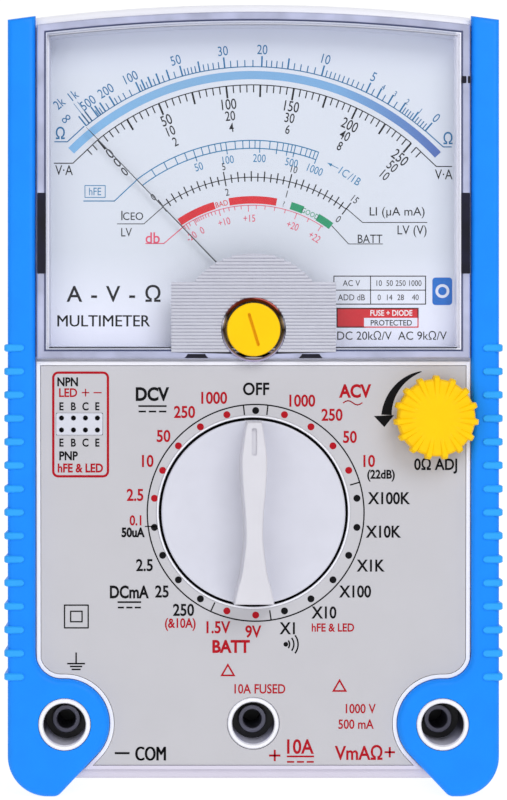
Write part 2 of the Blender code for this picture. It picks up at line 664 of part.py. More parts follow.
def make_selector():
    radius = SELECTOR_RADIUS
    profile = [(0.0, 0.2 * MM), (12.0 * MM, 0.2 * MM), (16.0 * MM, 0.8 * MM), (18.3 * MM, 1.8 * MM),
               (radius, 1.5 * MM), (radius, -1.6 * MM), (4.0 * MM, -1.6 * MM), (4.0 * MM, -2.4 * MM),
               (0.0, -2.4 * MM)]
    knob = turned("selector_knob", profile, at(SELECTOR, -14.1 * MM), WHITE, steps=48)
    handle = prism("selector_handle", [handle_outline()], KNOB_FRONT, -13.5 * MM, centre=SELECTOR)
    bevel_face_edge(handle, True, 0.9 * MM, 2)
    join(knob, handle)
    mark_low = (-0.55 * MM, KNOB_FRONT - 1.0 * MM, SELECTOR[1] + MARK_BOTTOM)
    mark_high = (0.55 * MM, KNOB_FRONT + 0.5 * MM, SELECTOR[1] + MARK_TOP)
    cut(knob, box("selector_mark", mark_low, mark_high))
    rotor = turned("switch_rotor",
                   [(0.0, 0.0), (ROTOR_RADIUS, 0.0), (ROTOR_RADIUS, -2.4 * MM), (5.0 * MM, -2.4 * MM),
                    (5.0 * MM, -5.0 * MM), (0.0, -5.0 * MM)],
                   at(SELECTOR, -11.4 * MM), PALE, steps=44)
    pocket_low = (-1.4 * MM, -12.0 * MM, SELECTOR[1] + 14.0 * MM)
    pocket_high = (1.4 * MM, -9.3 * MM, SELECTOR[1] + 22.0 * MM)
    cut(rotor, box("detent_pocket", pocket_low, pocket_high))
    bpy.ops.mesh.primitive_uv_sphere_add(segments=12, ring_count=8, radius=1.0 * MM)
    ball = bpy.context.active_object
    ball.name = "detent_ball"
    ball.location = (0.0, -10.4 * MM, SELECTOR[1] + 20.45 * MM)
    ball.users_collection[0].objects.unlink(ball)
    PARTS.objects.link(ball)
    ball.data.materials.append(STEEL)
    coil = []
    for i in range(33):
        turn = 2.0 * math.pi * i / 8
        spot = SELECTOR[1] + 14.5 * MM + 4.4 * MM * i / 32
        coil.append((0.75 * MM * math.cos(turn), -10.4 * MM + 0.75 * MM * math.sin(turn), spot))
    spring = wire("detent_spring", coil, 0.14 * MM, STEEL)
    bar = [(2.0 * MM, 6.0 * MM), (15.0 * MM, 6.0 * MM), (16.0 * MM, 3.1 * MM), (16.4 * MM, 3.1 * MM),
           (15.4 * MM, 6.4 * MM), (2.0 * MM, 6.4 * MM)]
    wiper = prism("switch_wiper", [[(-x, z - 6.4 * MM) for x, z in reversed(bar)]
                                   + [(x, z - 6.4 * MM) for x, z in bar]],
                  -1.2 * MM, 1.2 * MM, BRASS)
    wiper.matrix_world = Matrix.Translation(at(SELECTOR, -6.05 * MM)) @ Matrix.Rotation(math.pi, 4, "X")
    hang_on(joint_axis("selector_axis", at(SELECTOR, 0.0)), knob, rotor, ball, spring, wiper)


def make_zero_ohm_knob():
    outline = []
    for rib in range(OHM_KNOB_RIBS):
        middle = 90.0 + rib * 360.0 / OHM_KNOB_RIBS
        outline += arc((0.0, 0.0), OHM_KNOB_RADIUS, middle - 15.0, middle - 9.0, 1)
        outline += arc((0.0, 0.0), OHM_RIB_RADIUS, middle - 6.5, middle + 6.5, 2)
    knob = prism("zero_ohm_knob", [outline], OHM_KNOB_FRONT, OHM_KNOB_BACK, YELLOW, OHM_KNOB)
    bevel_face_edge(knob, True, 0.5 * MM, 1)
    neck = prism("zero_ohm_neck", [circle(6.0 * MM, 24)], -17.5 * MM, -14.9 * MM, centre=OHM_KNOB)
    socket = prism("zero_ohm_bore", [circle(3.3 * MM, 16)], -18.5 * MM, -14.0 * MM, centre=OHM_KNOB)
    join(knob, neck)
    cut(knob, socket)
    shaft = turned("zero_ohm_shaft",
                   [(0.0, 0.0), (3.0 * MM, 0.0), (3.0 * MM, -7.4 * MM), (5.6 * MM, -7.4 * MM),
                    (5.6 * MM, -8.4 * MM), (0.0, -8.4 * MM)],
                   at(OHM_KNOB, -18.2 * MM), STEEL, steps=20)
    hang_on(joint_axis("zero_ohm_axis", at(OHM_KNOB, 0.0)), knob, shaft)
    cup = [(3.3 * MM, 0.0), (7.8 * MM, 0.0), (7.8 * MM, -8.0 * MM), (0.0, -8.0 * MM),
           (0.0, -2.5 * MM), (6.0 * MM, -2.5 * MM), (6.0 * MM, -0.6 * MM), (3.3 * MM, -0.6 * MM)]
    return turned("zero_ohm_pot", cup, at(OHM_KNOB, -11.4 * MM), BLACK, steps=24, ring=True)


# ---------------------------------------------------------------- electrics


def make_jack(name, spot):
    """A white shroud round a deep recess, with a metal contact sleeve at the bottom of it."""
    front = -14.6 * MM if abs(spot[0]) < 1.0 * MM else GRIP_FRONT - 0.1 * MM
    depths = [(JACK_BORE_RADIUS, front), (SHROUD_RADIUS, front), (SHROUD_RADIUS, -1.5 * MM),
              (4.0 * MM, -1.5 * MM), (4.0 * MM, JACK_BACK), (1.1 * MM, JACK_BACK), (1.1 * MM, 5.7 * MM),
              (3.3 * MM, 5.7 * MM), (3.3 * MM, -5.5 * MM), (JACK_BORE_RADIUS, -5.5 * MM)]
    shroud = [(radius, -depth) for radius, depth in depths]
    turned(f"{name}_jack_shroud", shroud, at(spot, 0.0), WHITE, steps=24, ring=True)
    sleeve = [(2.0 * MM, 0.0), (3.0 * MM, 0.0), (3.0 * MM, -12.6 * MM), (0.8 * MM, -12.6 * MM),
              (0.8 * MM, -17.0 * MM), (0.0, -17.0 * MM), (0.0, -11.6 * MM), (2.0 * MM, -11.6 * MM)]
    turned(f"{name}_jack_contact", sleeve, at(spot, CONTACT_FRONT), STEEL, steps=20, ring=True)


def make_circuit_board():
    half = 44.0 * MM
    outline = [(-half, 21.6 * MM), (half, 21.6 * MM), (half, 89.5 * MM)]
    notch = 14.5 * MM
    low = math.degrees(math.asin((89.5 * MM - PIVOT[1]) / notch))
    outline += arc(PIVOT, notch, low, -180.0 - low, 12)
    outline += [(-half, 89.5 * MM)]
    hole = circle(5.6 * MM, 20, SELECTOR)
    prism("circuit_board", [outline, hole], BOARD_FRONT, BOARD_FRONT + BOARD_THICK, BOARD_GREEN)


def make_transistor_socket():
    """Two rows of four holes for a transistor's or an LED's legs."""
    back = BOARD_FRONT - GAP
    socket = prism("transistor_socket", [socket_outline()], PANEL_FRONT - 0.9 * MM, back, PALE, SOCKET)
    for row in (-0.5, 0.5):
        for column in (-1.5, -0.5, 0.5, 1.5):
            spot = (SOCKET[0] + column * SOCKET_PITCH, SOCKET[1] + row * SOCKET_PITCH)
            label = f"socket_hole_{'upper' if row > 0 else 'lower'}_{int(column + 2.5)}"
            cut(socket, prism(label, [circle(0.55 * MM, 8)], -16.0 * MM, -8.0 * MM, centre=spot))


def make_small_electrics():
    buzzer = [(0.0, 4.6 * MM), (1.2 * MM, 4.6 * MM), (1.2 * MM, 5.2 * MM), (6.0 * MM, 5.2 * MM),
              (6.0 * MM, 0.0), (0.0, 0.0)]
    turned("buzzer", buzzer, at((30.0 * MM, 33.0 * MM), BOARD_FRONT - GAP), BLACK, steps=24)
    middle = Vector((-8.0 * MM, -6.2 * MM, 29.5 * MM))
    fuse = prism("fuse", [circle(2.6 * MM, 20)], -10.0 * MM, 10.0 * MM, GLASS)
    fuse.matrix_world = Matrix.Translation(middle) @ Matrix.Rotation(math.pi / 2, 4, "Y")
    for side, label in ((-1, "left"), (1, "right")):
        ring = arc((0.0, 0.0), 3.5 * MM, -230.0, 50.0, 14) + arc((0.0, 0.0), 2.9 * MM, 50.0, -230.0, 14)
        clip = prism(f"fuse_clip_{label}", [ring], -1.8 * MM, 1.8 * MM, BRASS)
        turn = Matrix.Rotation(math.pi / 2, 4, "Y") @ Matrix.Rotation(math.pi / 2, 4, "Z")
        clip.matrix_world = Matrix.Translation(middle + Vector((side * 7.6 * MM, 0.0, 0.0))) @ turn


def make_batteries():
    middle = BAY_FLOOR + 0.4 * MM + AA_RADIUS
    for label, x, nub_up in (("left", -22.25 * MM, True), ("right", -7.05 * MM, False)):
        start = 27.3 * MM if nub_up else 23.6 * MM
        cell_profile = [(0.0, 50.4 * MM), (2.7 * MM, 50.4 * MM), (2.7 * MM, 49.2 * MM),
                        (AA_RADIUS, 49.2 * MM), (AA_RADIUS, 0.0), (0.0, 0.0)]
        cell = turned(f"aa_battery_{label}", cell_profile, (x, middle, start), ORANGE, steps=24)
        cell.rotation_euler = (0.0, 0.0, 0.0)
        if not nub_up:
            cell.location.z = start + 50.4 * MM
            cell.rotation_euler = (math.pi, 0.0, 0.0)
        low, high = (22.9 * MM, 27.0 * MM) if nub_up else (74.3 * MM, 78.3 * MM)
        coil = []
        for i in range(33):
            turn = 2.0 * math.pi * i / 8
            z = low + 0.3 * MM + (high - low - 0.6 * MM) * i / 32
            coil.append((x + 3.0 * MM * math.cos(turn), middle + 3.0 * MM * math.sin(turn), z))
        wire(f"battery_spring_{label}", coil, 0.25 * MM, STEEL)
        plate_z = 78.0 * MM if nub_up else 22.9 * MM
        box(f"battery_plate_{label}", (x - 4.0 * MM, middle - 4.0 * MM, plate_z),
            (x + 4.0 * MM, middle + 4.0 * MM, plate_z + 0.4 * MM), STEEL)
    low = (2.95 * MM, 1.4 * MM, 22.9 * MM)
    high = (29.45 * MM, 18.9 * MM, 69.3 * MM)
    battery = box("nine_volt_battery", low, high, BLACK)
    bevel = battery.modifiers.new("rounding", "BEVEL")
    bevel.width = 1.5 * MM
    bevel.segments = 2
    for number, x in ((1, 9.85 * MM), (2, 22.55 * MM)):
        terminal = [(0.0, 2.0 * MM), (2.8 * MM, 2.0 * MM), (2.8 * MM, -1.0 * MM), (0.0, -1.0 * MM)]
        stud = turned(f"nine_volt_terminal_{number}", terminal, (x, 10.15 * MM, 69.3 * MM), steps=16)
        stud.rotation_euler = (0.0, 0.0, 0.0)
        join(battery, stud)
    snap = box("nine_volt_snap", (3.5 * MM, 4.0 * MM, 71.6 * MM), (28.9 * MM, 16.3 * MM, 74.6 * MM), BLACK)
    bevel = snap.modifiers.new("rounding", "BEVEL")
    bevel.width = 0.6 * MM
    bevel.segments = 1


def make_battery_cover():
    cover = box("battery_cover", (-COVER_HALF_WIDTH, COVER_FRONT, COVER_BOTTOM),
                (COVER_HALF_WIDTH, BACK, COVER_TOP), WHITE)
    for number in range(COVER_GROOVES):
        z = 60.0 * MM - 3.0 * MM * number
        cut(cover, box(f"cover_groove_{number + 1}", (-12.0 * MM, BACK - 0.6 * MM, z),
                       (12.0 * MM, BACK + 1.0 * MM, z + 1.2 * MM)))
    spot = (0.0, COVER_SCREW_Z)
    cut(cover, prism("cover_screw_clearance", [circle(1.6 * MM, 12)], 18.0 * MM, 24.0 * MM, centre=spot))
    cut(cover, prism("cover_screw_seat", [circle(2.5 * MM, 16)], BACK - 1.3 * MM, 24.0 * MM, centre=spot))
    screw = make_screw("cover_screw", spot, BACK - 0.1 * MM, 2.2, 1.2, 0.9, 10.0)
    hang_on(joint_axis("battery_cover_axis", at(spot, BACK)), cover, screw)


def make_screw(name, spot, head_depth, head_radius, shank_radius, head_height, length):
    """A cross-head screw driven in from the back; head_depth is where its head's outer face lies."""
    screw = turned(name, [(0.0, 0.0), (shank_radius * MM, 0.0), (shank_radius * MM, -length * MM),
                          (head_radius * MM, -length * MM), (head_radius * MM, -(length + head_height) * MM),
                          (0.0, -(length + head_height) * MM)],
                   at(spot, head_depth - (length + head_height) * MM), STEEL, steps=16)
    deep = head_depth - 0.5 * MM
    for label, half_x, half_z in (("a", 1.3, 0.3), ("b", 0.3, 1.3)):
        low = (spot[0] - half_x * MM, deep, spot[1] - half_z * MM)
        high = (spot[0] + half_x * MM, head_depth + 1.0 * MM, spot[1] + half_z * MM)
        cut(screw, box(f"{name}_slot_{label}", low, high))
    return screw


def make_case_screws():
    for label, centre in screw_spots():
        make_screw(f"case_screw_{label}", centre, 16.2 * MM, 2.7, 1.25, 1.8, 16.0)


clear_scene()
PARTS = new_collection("analog_multimeter")
CUTTERS = new_collection("cutters")
CUTTERS.hide_render = True

WHITE = paint("white_case", (0.80, 0.80, 0.84), 0.40)
GREY = paint("grey_label", (0.60, 0.59, 0.62), 0.50)
BLUE = paint("blue_rubber", (0.015, 0.28, 0.90), 0.55)
YELLOW = paint("yellow_plastic", (1.0, 0.68, 0.02), 0.35)
CLEAR = paint("clear_lens", (0.90, 0.92, 0.97), 0.05, alpha=0.3)
GLASS = paint("fuse_glass", (0.85, 0.88, 0.88), 0.05, alpha=0.5)
DIAL_WHITE = paint("dial_white", (0.75, 0.77, 0.85), 0.50)
BLACK = paint("black_parts", (0.02, 0.02, 0.02), 0.45)
PALE = paint("pale_plastic", (0.62, 0.62, 0.60), 0.50)
STEEL = paint("steel", (0.60, 0.60, 0.60), 0.30, metallic=1.0)
ALUMINIUM = paint("aluminium", (0.75, 0.75, 0.76), 0.40, metallic=1.0)
BRASS = paint("brass", (0.78, 0.58, 0.25), 0.35, metallic=1.0)
COPPER = paint("copper", (0.70, 0.30, 0.15), 0.40, metallic=1.0)
BOARD_GREEN = paint("board_green", (0.05, 0.25, 0.10), 0.50)
ORANGE = paint("battery_wrap", (0.80, 0.35, 0.05), 0.40)

make_front_case()
make_rear_case()
make_grip(-1, "left")
make_grip(1, "right")
make_panel_label()
make_lens()
make_dial_plate()
make_movement()
make_pointer()
make_zero_adjuster()
make_selector()
make_zero_ohm_knob()
for jack_name, jack_spot in zip(("com", "ten_amp", "volt_ohm"), jack_spots()):
    make_jack(jack_name, jack_spot)
make_circuit_board()
make_transistor_socket()
make_small_electrics()
make_batteries()
make_battery_cover()
make_case_screws()
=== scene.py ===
"""The looks of the analog multimeter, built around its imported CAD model.

The front faces -Y, +X is to the right of someone reading the scale, and +Z is up. Front-view
outlines are lists of (x, z) points that run anticlockwise as the reader sees them, depths are
values of Y, and a print's place is given in millimetres from the centre that it surrounds.
"""

import math

import bmesh
import bpy
from mathutils import Matrix, Vector


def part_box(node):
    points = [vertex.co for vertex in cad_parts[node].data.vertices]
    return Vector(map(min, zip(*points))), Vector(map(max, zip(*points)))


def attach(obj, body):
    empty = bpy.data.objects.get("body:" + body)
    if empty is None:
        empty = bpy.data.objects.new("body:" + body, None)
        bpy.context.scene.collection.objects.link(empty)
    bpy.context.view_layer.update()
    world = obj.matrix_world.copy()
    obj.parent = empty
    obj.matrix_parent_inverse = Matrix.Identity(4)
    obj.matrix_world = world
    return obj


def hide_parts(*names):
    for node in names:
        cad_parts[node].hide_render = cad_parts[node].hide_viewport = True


MM = 0.001
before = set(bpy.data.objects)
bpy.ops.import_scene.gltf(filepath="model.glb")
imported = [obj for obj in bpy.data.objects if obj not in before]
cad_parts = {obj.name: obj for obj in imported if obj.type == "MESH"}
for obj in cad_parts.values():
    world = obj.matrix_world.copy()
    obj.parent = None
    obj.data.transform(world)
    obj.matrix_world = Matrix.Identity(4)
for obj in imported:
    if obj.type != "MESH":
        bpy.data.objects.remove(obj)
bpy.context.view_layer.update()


# ---------------------------------------------------------------- places and sizes


def centre(node):
    """The front-view centre of a CAD node."""
    low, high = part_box(node)
    return ((low.x + high.x) / 2.0, (low.z + high.z) / 2.0)


def front(node):
    """The depth of a CAD node's foremost face."""
    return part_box(node)[0].y


CASE_LOW, CASE_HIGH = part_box("front_case")
REAR_LOW, REAR_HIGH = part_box("rear_case")
GRIP_LOW, GRIP_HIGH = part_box("right_grip")
LABEL_LOW, LABEL_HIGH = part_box("panel_label")
LENS_LOW, LENS_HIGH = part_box("meter_lens")
COVER_LOW, COVER_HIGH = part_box("battery_cover")
SOCKET_LOW, SOCKET_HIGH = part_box("transistor_socket")
CELL_LOW, CELL_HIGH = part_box("aa_battery_left")
BLOCK_LOW, BLOCK_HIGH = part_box("nine_volt_battery")
PIVOT = centre("zero_adjust_cap")
SELECTOR = centre("switch_rotor")
OHM_KNOB = centre("zero_ohm_shaft")
SOCKET = centre("transistor_socket")
JACKS = {name: centre(name + "_jack_contact") for name in ("com", "ten_amp", "volt_ohm")}
SCREWS = [centre(f"case_screw_{name}") for name in ("lower_left", "lower_right", "upper_left", "upper_right")]

# Clearances: between pieces, between a print's sheet and what it surrounds, and past a cut face.
GAP = 0.3 * MM
SEAM = 0.05 * MM
OVERCUT = 1.0 * MM

# The housing, the openings in its front and the printed sheet.
CASE_FRONT = CASE_LOW.y
CASE_SEAM = REAR_LOW.y - GAP
CASE_CORNER = 7.5 * MM
CASE_EDGE = 2.0 * MM
WALL = 2.2 * MM
ARCH_RADIUS = 385.0 * MM
WINDOW_HALF_WIDTH = 43.4 * MM
WINDOW_SILL = LENS_LOW.z + 1.4 * MM
WINDOW_PEAK = LENS_HIGH.z - 2.4 * MM
KNOB_OPENING = 20.05 * MM
RING_RADIUS = 20.55 * MM
RING_FRONT = -15.05 * MM
SHAFT_HOLE = 3.4 * MM
JACK_RADIUS = 5.5 * MM
JACK_BORE = 4.5 * MM
JACK_FLOOR = -5.5 * MM
LABEL_FRONT = LABEL_LOW.y
LABEL_CLEARANCE = 1.05 * MM
DIAL_FRONT = front("dial_plate")
PRINT_THICK = 0.03 * MM

# The battery tub and the screw pillars in the rear shell.
TUB_LOW = (-33.5 * MM, 19.9 * MM)
TUB_HIGH = (33.5 * MM, 85.9 * MM)
TUB_FRONT = -0.3 * MM
POCKET_FRONT = 0.9 * MM
POCKET_BOTTOM = 22.6 * MM
POCKET_TOP = 78.6 * MM
POCKET_SIDES = ((-29.85 * MM, 0.55 * MM), (2.55 * MM, 29.85 * MM))
SCREW_RECESS = 3.1 * MM
SCREW_SEAT = 14.0 * MM
PILLAR_RADIUS = 4.2 * MM
PILLAR_FRONT = 5.6 * MM
PILLAR_BORE = 1.6 * MM

# The grips, whose lobes surround the outer jacks and end below 40 mm, and their ribs.
GRIP_FRONT = GRIP_LOW.y + 0.4 * MM
GRIP_STEP = 19.5 * MM
GRIP_EDGE = 1.5 * MM
GRIP_HALF_WIDTH = GRIP_HIGH.x - 0.7 * MM
GRIP_INNER = 46.2 * MM
GRIP_TOP_DROP = 0.8 * MM
GRIP_FILLET = 5.5 * MM
LOBE_RADIUS = 9.5 * MM
LOBE_LIMIT = 40.0 * MM
LOBE_LOWER_ANGLE = -44.0
FOOT_INNER = 41.5 * MM
FOOT_TOE = 42.4 * MM
FOOT_RADIUS = 8.5 * MM
RIB_COUNT = 15
RIB_PITCH = 4.97 * MM
RIB_FIRST = 25.5 * MM
RIB_START = 48.5 * MM
RIB_CORNER = 1.3 * MM
RIB_HALF = 0.82 * MM
# A rib's cross-section, as shares of its half width and of its rise.
RIB_SECTION = ((-1.0, 0.0), (-1.0, 0.62), (-0.88, 0.86), (-0.62, 1.0), (0.62, 1.0), (0.88, 0.86), (1.0, 0.62),
               (1.0, 0.0))

# The lens: insets of its rim, groove and inner line from its outline, and its ridged band.
LENS_FRONT = LENS_LOW.y + 0.5 * MM
RIM_INSET = 1.6 * MM
GROOVE_INSET = 1.95 * MM
LINE_INSET = 2.2 * MM
BAND_THICK = 1.3 * MM
BAND_HALF_WIDTH = 17.4 * MM
BAND_BOTTOM = -4.8 * MM
BAND_SHOULDER = 9.95 * MM
DOME_RADIUS = 16.1 * MM
COLLAR_RADIUS = 6.85 * MM
RIDGE_PITCH = 0.71 * MM

# The range knob, in plain millimetres: its disc, and its handle as (height, half width) points.
POSITIONS = 22
KNOB_FACE = -14.2
KNOB_RADIUS = 19.5
KNOB_EDGE = 0.5
HANDLE = ((-19.1, 4.3), (-18.3, 4.2), (-15.6, 3.6), (-12.6, 2.76), (-9.0, 2.25), (-5.0, 1.87), (0.76, 2.1),
          (4.4, 2.43), (10.8, 2.76), (13.8, 2.5), (17.5, 2.0), (19.3, 1.6))

# The spacing of the transistor socket's holes, in plain millimetres.
SOCKET_PITCH = 2.54

# The height of the built-in font's capitals, as a share of its size.
CAP_HEIGHT = 0.682

# The prints, in plain millimetres: the range marks' centre from the range knob's, and the radii
# of the range marks and of the dial's scales.
PRINT_SHIFT = (0.5, -0.15)
RANGE_CIRCLE = 23.0
DOT_CIRCLE = 21.7
DOT_RADIUS = 0.74
RED_POSITIONS = (1, 2, 3, 4, 11, 12, 17, 18, 19, 20, 21)
OHM_RADIUS = 56.5
MIRROR_RADIUS = 54.7
VOLT_RADIUS = 52.6
GAIN_OUTER = 40.7
GAIN_INNER = 39.0
CURRENT_RADIUS = 32.8
CHARGE_RADIUS = 27.95
DECIBEL_RADIUS = 26.8


# ---------------------------------------------------------------- shapes


def spread(start, end, steps):
    """Evenly spaced values from start to end, both included."""
    return [start + (end - start) * i / steps for i in range(steps + 1)]


def arc(middle, radius, start, end, steps):
    """Points on an arc, with angles in degrees counted from +X towards +Z."""
    turns = [math.radians(a) for a in spread(start, end, steps)]
    return [(middle[0] + radius * math.cos(t), middle[1] + radius * math.sin(t)) for t in turns]


def circle(radius, middle=(0.0, 0.0), steps=64):
    return arc(middle, radius, 0.0, 360.0, steps)[:-1]


def rectangle(low, high):
    return [(low[0], low[1]), (high[0], low[1]), (high[0], high[1]), (low[0], high[1])]


def box_outline(low, high, grow):
    """The front-view rectangle of a CAD box, grown on every side."""
    return rectangle((low.x - grow, low.z - grow), (high.x + grow, high.z + grow))


def section(start, end, near, far):
    """A rectangular cross-section, from (inset, depth) or (radius, depth) points."""
    return [(start, near), (end, near), (end, far), (start, far)]


def rounded_rectangle(low, high, radius, steps=5):
    """A rectangle between two corners, with its four corners rounded."""
    points = []
    corners = ((high[0], high[1], 0.0), (low[0], high[1], 90.0), (low[0], low[1], 180.0),
               (high[0], low[1], 270.0))
    for x, z, turn in corners:
        inner_x = x - radius if x == high[0] else x + radius
        inner_z = z - radius if z == high[1] else z + radius
        points += arc((inner_x, inner_z), radius, turn, turn + 90.0, steps)
    return points


def arched_top(half_width, peak, steps=40):
    """Points along the shallow arch that tops the housing and the lens, right to left."""
    xs = spread(half_width, -half_width, steps)
    return [(x, peak - x * x / (2.0 * ARCH_RADIUS)) for x in xs]


def inset_outline(points, inset):
    """The closed outline moved inwards by inset, with mitred corners."""
    moved = []
    for i, here in enumerate(points):
        here = Vector(here)
        first = (here - Vector(points[i - 1])).normalized()
        second = (Vector(points[(i + 1) % len(points)]) - here).normalized()
        inward = (first + second).orthogonal().normalized()
        if inward.dot(Vector((-first.y, first.x))) < 0.0:
            inward = -inward
        share = max(0.4, inward.dot(Vector((-first.y, first.x))))
        moved.append(tuple(here + inward * inset / share))
    return moved


def rounding(depth, radius, towards=1.0, steps=6):
    """Profile points (inset, depth) of a rounded edge that starts on the face at depth."""
    points = []
    for angle in spread(90.0, 0.0, steps):
        turn = math.radians(angle)
        points.append((radius * (1.0 - math.cos(turn)), depth + towards * radius * (1.0 - math.sin(turn))))
    return points


def band(bm, first, second):
    """Faces between two closed rings of as many vertices; a vertex that repeats makes a triangle."""
    for i in range(len(first)):
        j = (i + 1) % len(first)
        corners = [first[i], first[j], second[j], second[i]]
        face = bm.faces.new([v for k, v in enumerate(corners) if v not in corners[:k]])
        face.smooth = True


def loft(bm, outline, profile, flat=True, hollow=False):
    """A solid with the outline inset and placed at each (inset, depth) of the profile.

    flat puts the outline in the front view, and otherwise in plan, with depths along Z.
    hollow closes the profile on itself, which makes a frame in place of a plate.
    """
    rings = []
    for inset, depth in profile:
        points = inset_outline(outline, inset)
        places = [(u, depth, v) if flat else (u, v, depth) for u, v in points]
        rings.append([bm.verts.new(place) for place in places])
    for first, second in zip(rings, rings[1:]):
        band(bm, first, second)
    if hollow:
        band(bm, rings[-1], rings[0])
    else:
        bm.faces.new(rings[0])
        bm.faces.new(rings[-1])
    return bm


def plate(bm, outline, near, far, edge=0.0, far_edge=0.0, flat=True):
    """A plate between two depths, with its outline rounded at the near and the far face."""
    profile = rounding(near, edge) if edge else [(0.0, near)]
    profile += list(reversed(rounding(far, far_edge, -1.0))) if far_edge else [(0.0, far)]
    return loft(bm, outline, profile, flat)


def turned(bm, profile, middle, steps=64, ring=False):
    """A body turned about the depth axis through middle, from (radius, depth) points."""
    rings = []
    for radius, depth in profile:
        if radius == 0.0:
            rings.append([bm.verts.new((middle[0], depth, middle[1]))])
        else:
            rings.append([bm.verts.new((x, depth, z)) for x, z in circle(radius, middle, steps)])
    pairs = list(zip(rings, rings[1:]))
    if ring:
        pairs.append((rings[-1], rings[0]))
    for first, second in pairs:
        if len(first) == 1:
            first = first * steps
        if len(second) == 1:
            second = second * steps
        band(bm, first, second)
    return bm


def add_mesh_of(bm, data, matrix):
    """Adds the evaluated mesh of a curve or text to bm, placed by a matrix or by a function of the mesh."""
    guide = bpy.data.objects.new("guide", data)
    bpy.context.scene.collection.objects.link(guide)
    bpy.context.view_layer.update()
    graph = bpy.context.evaluated_depsgraph_get()
    mesh = bpy.data.meshes.new_from_object(guide.evaluated_get(graph))
    bpy.data.objects.remove(guide)
    bpy.data.curves.remove(data)
    mesh.transform(matrix(mesh) if callable(matrix) else matrix)
    bm.from_mesh(mesh)
    bpy.data.meshes.remove(mesh)
    bmesh.ops.remove_doubles(bm, verts=bm.verts, dist=1e-7)
    return bm


TO_FRONT_VIEW = Matrix(((1, 0, 0, 0), (0, 0, -1, 0), (0, 1, 0, 0), (0, 0, 0, 1)))


def prism(bm, outlines, near, far):
    """A plate with holes: the first outline is the outer one."""
    curve = bpy.data.curves.new("outline", "CURVE")
    curve.dimensions = "2D"
    curve.fill_mode = "BOTH"
    curve.extrude = (far - near) / 2.0
    for outline in outlines:
        spline = curve.splines.new("POLY")
        spline.points.add(len(outline) - 1)
        for point, (x, z) in zip(spline.points, outline):
            point.co = (x, z, 0.0, 1.0)
        spline.use_cyclic_u = True
    place = Matrix.Translation((0.0, (near + far) / 2.0, 0.0))
    return add_mesh_of(bm, curve, place @ TO_FRONT_VIEW)


def as_object(bm, name):
    """Turns bm into an object of the scene, with its faces pointing out."""
    bmesh.ops.recalc_face_normals(bm, faces=bm.faces)
    mesh = bpy.data.meshes.new(name)
    bm.to_mesh(mesh)
    bm.free()
    obj = bpy.data.objects.new(name, mesh)
    bpy.context.scene.collection.objects.link(obj)
    return obj


def carve(bm, *cutters):
    """The solid in bm, less each of the cutters."""
    body = as_object(bm, "carved")
    tools = [as_object(cutter, "cutter") for cutter in cutters]
    for tool in tools:
        step = body.modifiers.new("cut", "BOOLEAN")
        step.operation = "DIFFERENCE"
        step.object = tool
    bpy.context.view_layer.update()
    graph = bpy.context.evaluated_depsgraph_get()
    result = bpy.data.meshes.new_from_object(body.evaluated_get(graph))
    for obj in [body, *tools]:
        mesh = obj.data
        bpy.data.objects.remove(obj)
        bpy.data.meshes.remove(mesh)
    made = bmesh.new()
    made.from_mesh(result)
    bpy.data.meshes.remove(result)
    return made


def join(bm, other):
    """Adds the solid in other to bm, as a separate body."""
    mesh = bpy.data.meshes.new("joined")
    other.to_mesh(mesh)
    other.free()
    bm.from_mesh(mesh)
    bpy.data.meshes.remove(mesh)


def piece(name, bm, material, body, slot, *nodes, smooth=35.0):
    """Finishes a piece: it rides on a body, takes the given finish and hides the CAD nodes it stands for;
    slot is not used.
    """
    obj = as_object(bm, name)
    obj.data.set_sharp_from_angle(angle=math.radians(smooth))
    obj.data.materials.append(material)
    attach(obj, body)
    if nodes:
        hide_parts(*nodes)
    return obj


# ---------------------------------------------------------------- finishes


def linear(red, green, blue):
    """A colour given as 8-bit sRGB values."""
    def channel(value):
        value /= 255.0
        return value / 12.92 if value <= 0.04045 else ((value + 0.055) / 1.055) ** 2.4
    return tuple(channel(value) for value in (red, green, blue))


def noise(tree, place, size, detail=2.0):
    """A noise pattern with features of a size."""
    texture = tree.nodes.new("ShaderNodeTexNoise")
    texture.inputs["Scale"].default_value = 1.0 / size
    texture.inputs["Detail"].default_value = detail
    tree.links.new(place, texture.inputs["Vector"])
    return texture.outputs["Fac"]


def ramp(tree, factor, stops):
    """Colours looked up by a factor, from (position, colour) stops."""
    node = tree.nodes.new("ShaderNodeValToRGB")
    elements = node.color_ramp.elements
    while len(elements) < len(stops):
        elements.new(0.5)
    for element, (position, colour) in zip(elements, stops):
        element.position = position
        element.color = (*colour, 1.0)
    tree.links.new(factor, node.inputs["Fac"])
    return node.outputs["Color"]


def along_axis(tree, place, axis, start, end):
    """0 at start and 1 at end along an axis of the frame."""
    split = tree.nodes.new("ShaderNodeSeparateXYZ")
    tree.links.new(place, split.inputs["Vector"])
    span = tree.nodes.new("ShaderNodeMapRange")
    span.inputs["From Min"].default_value = start
    span.inputs["From Max"].default_value = end
    tree.links.new(split.outputs[axis], span.inputs["Value"])
    return span.outputs["Result"]


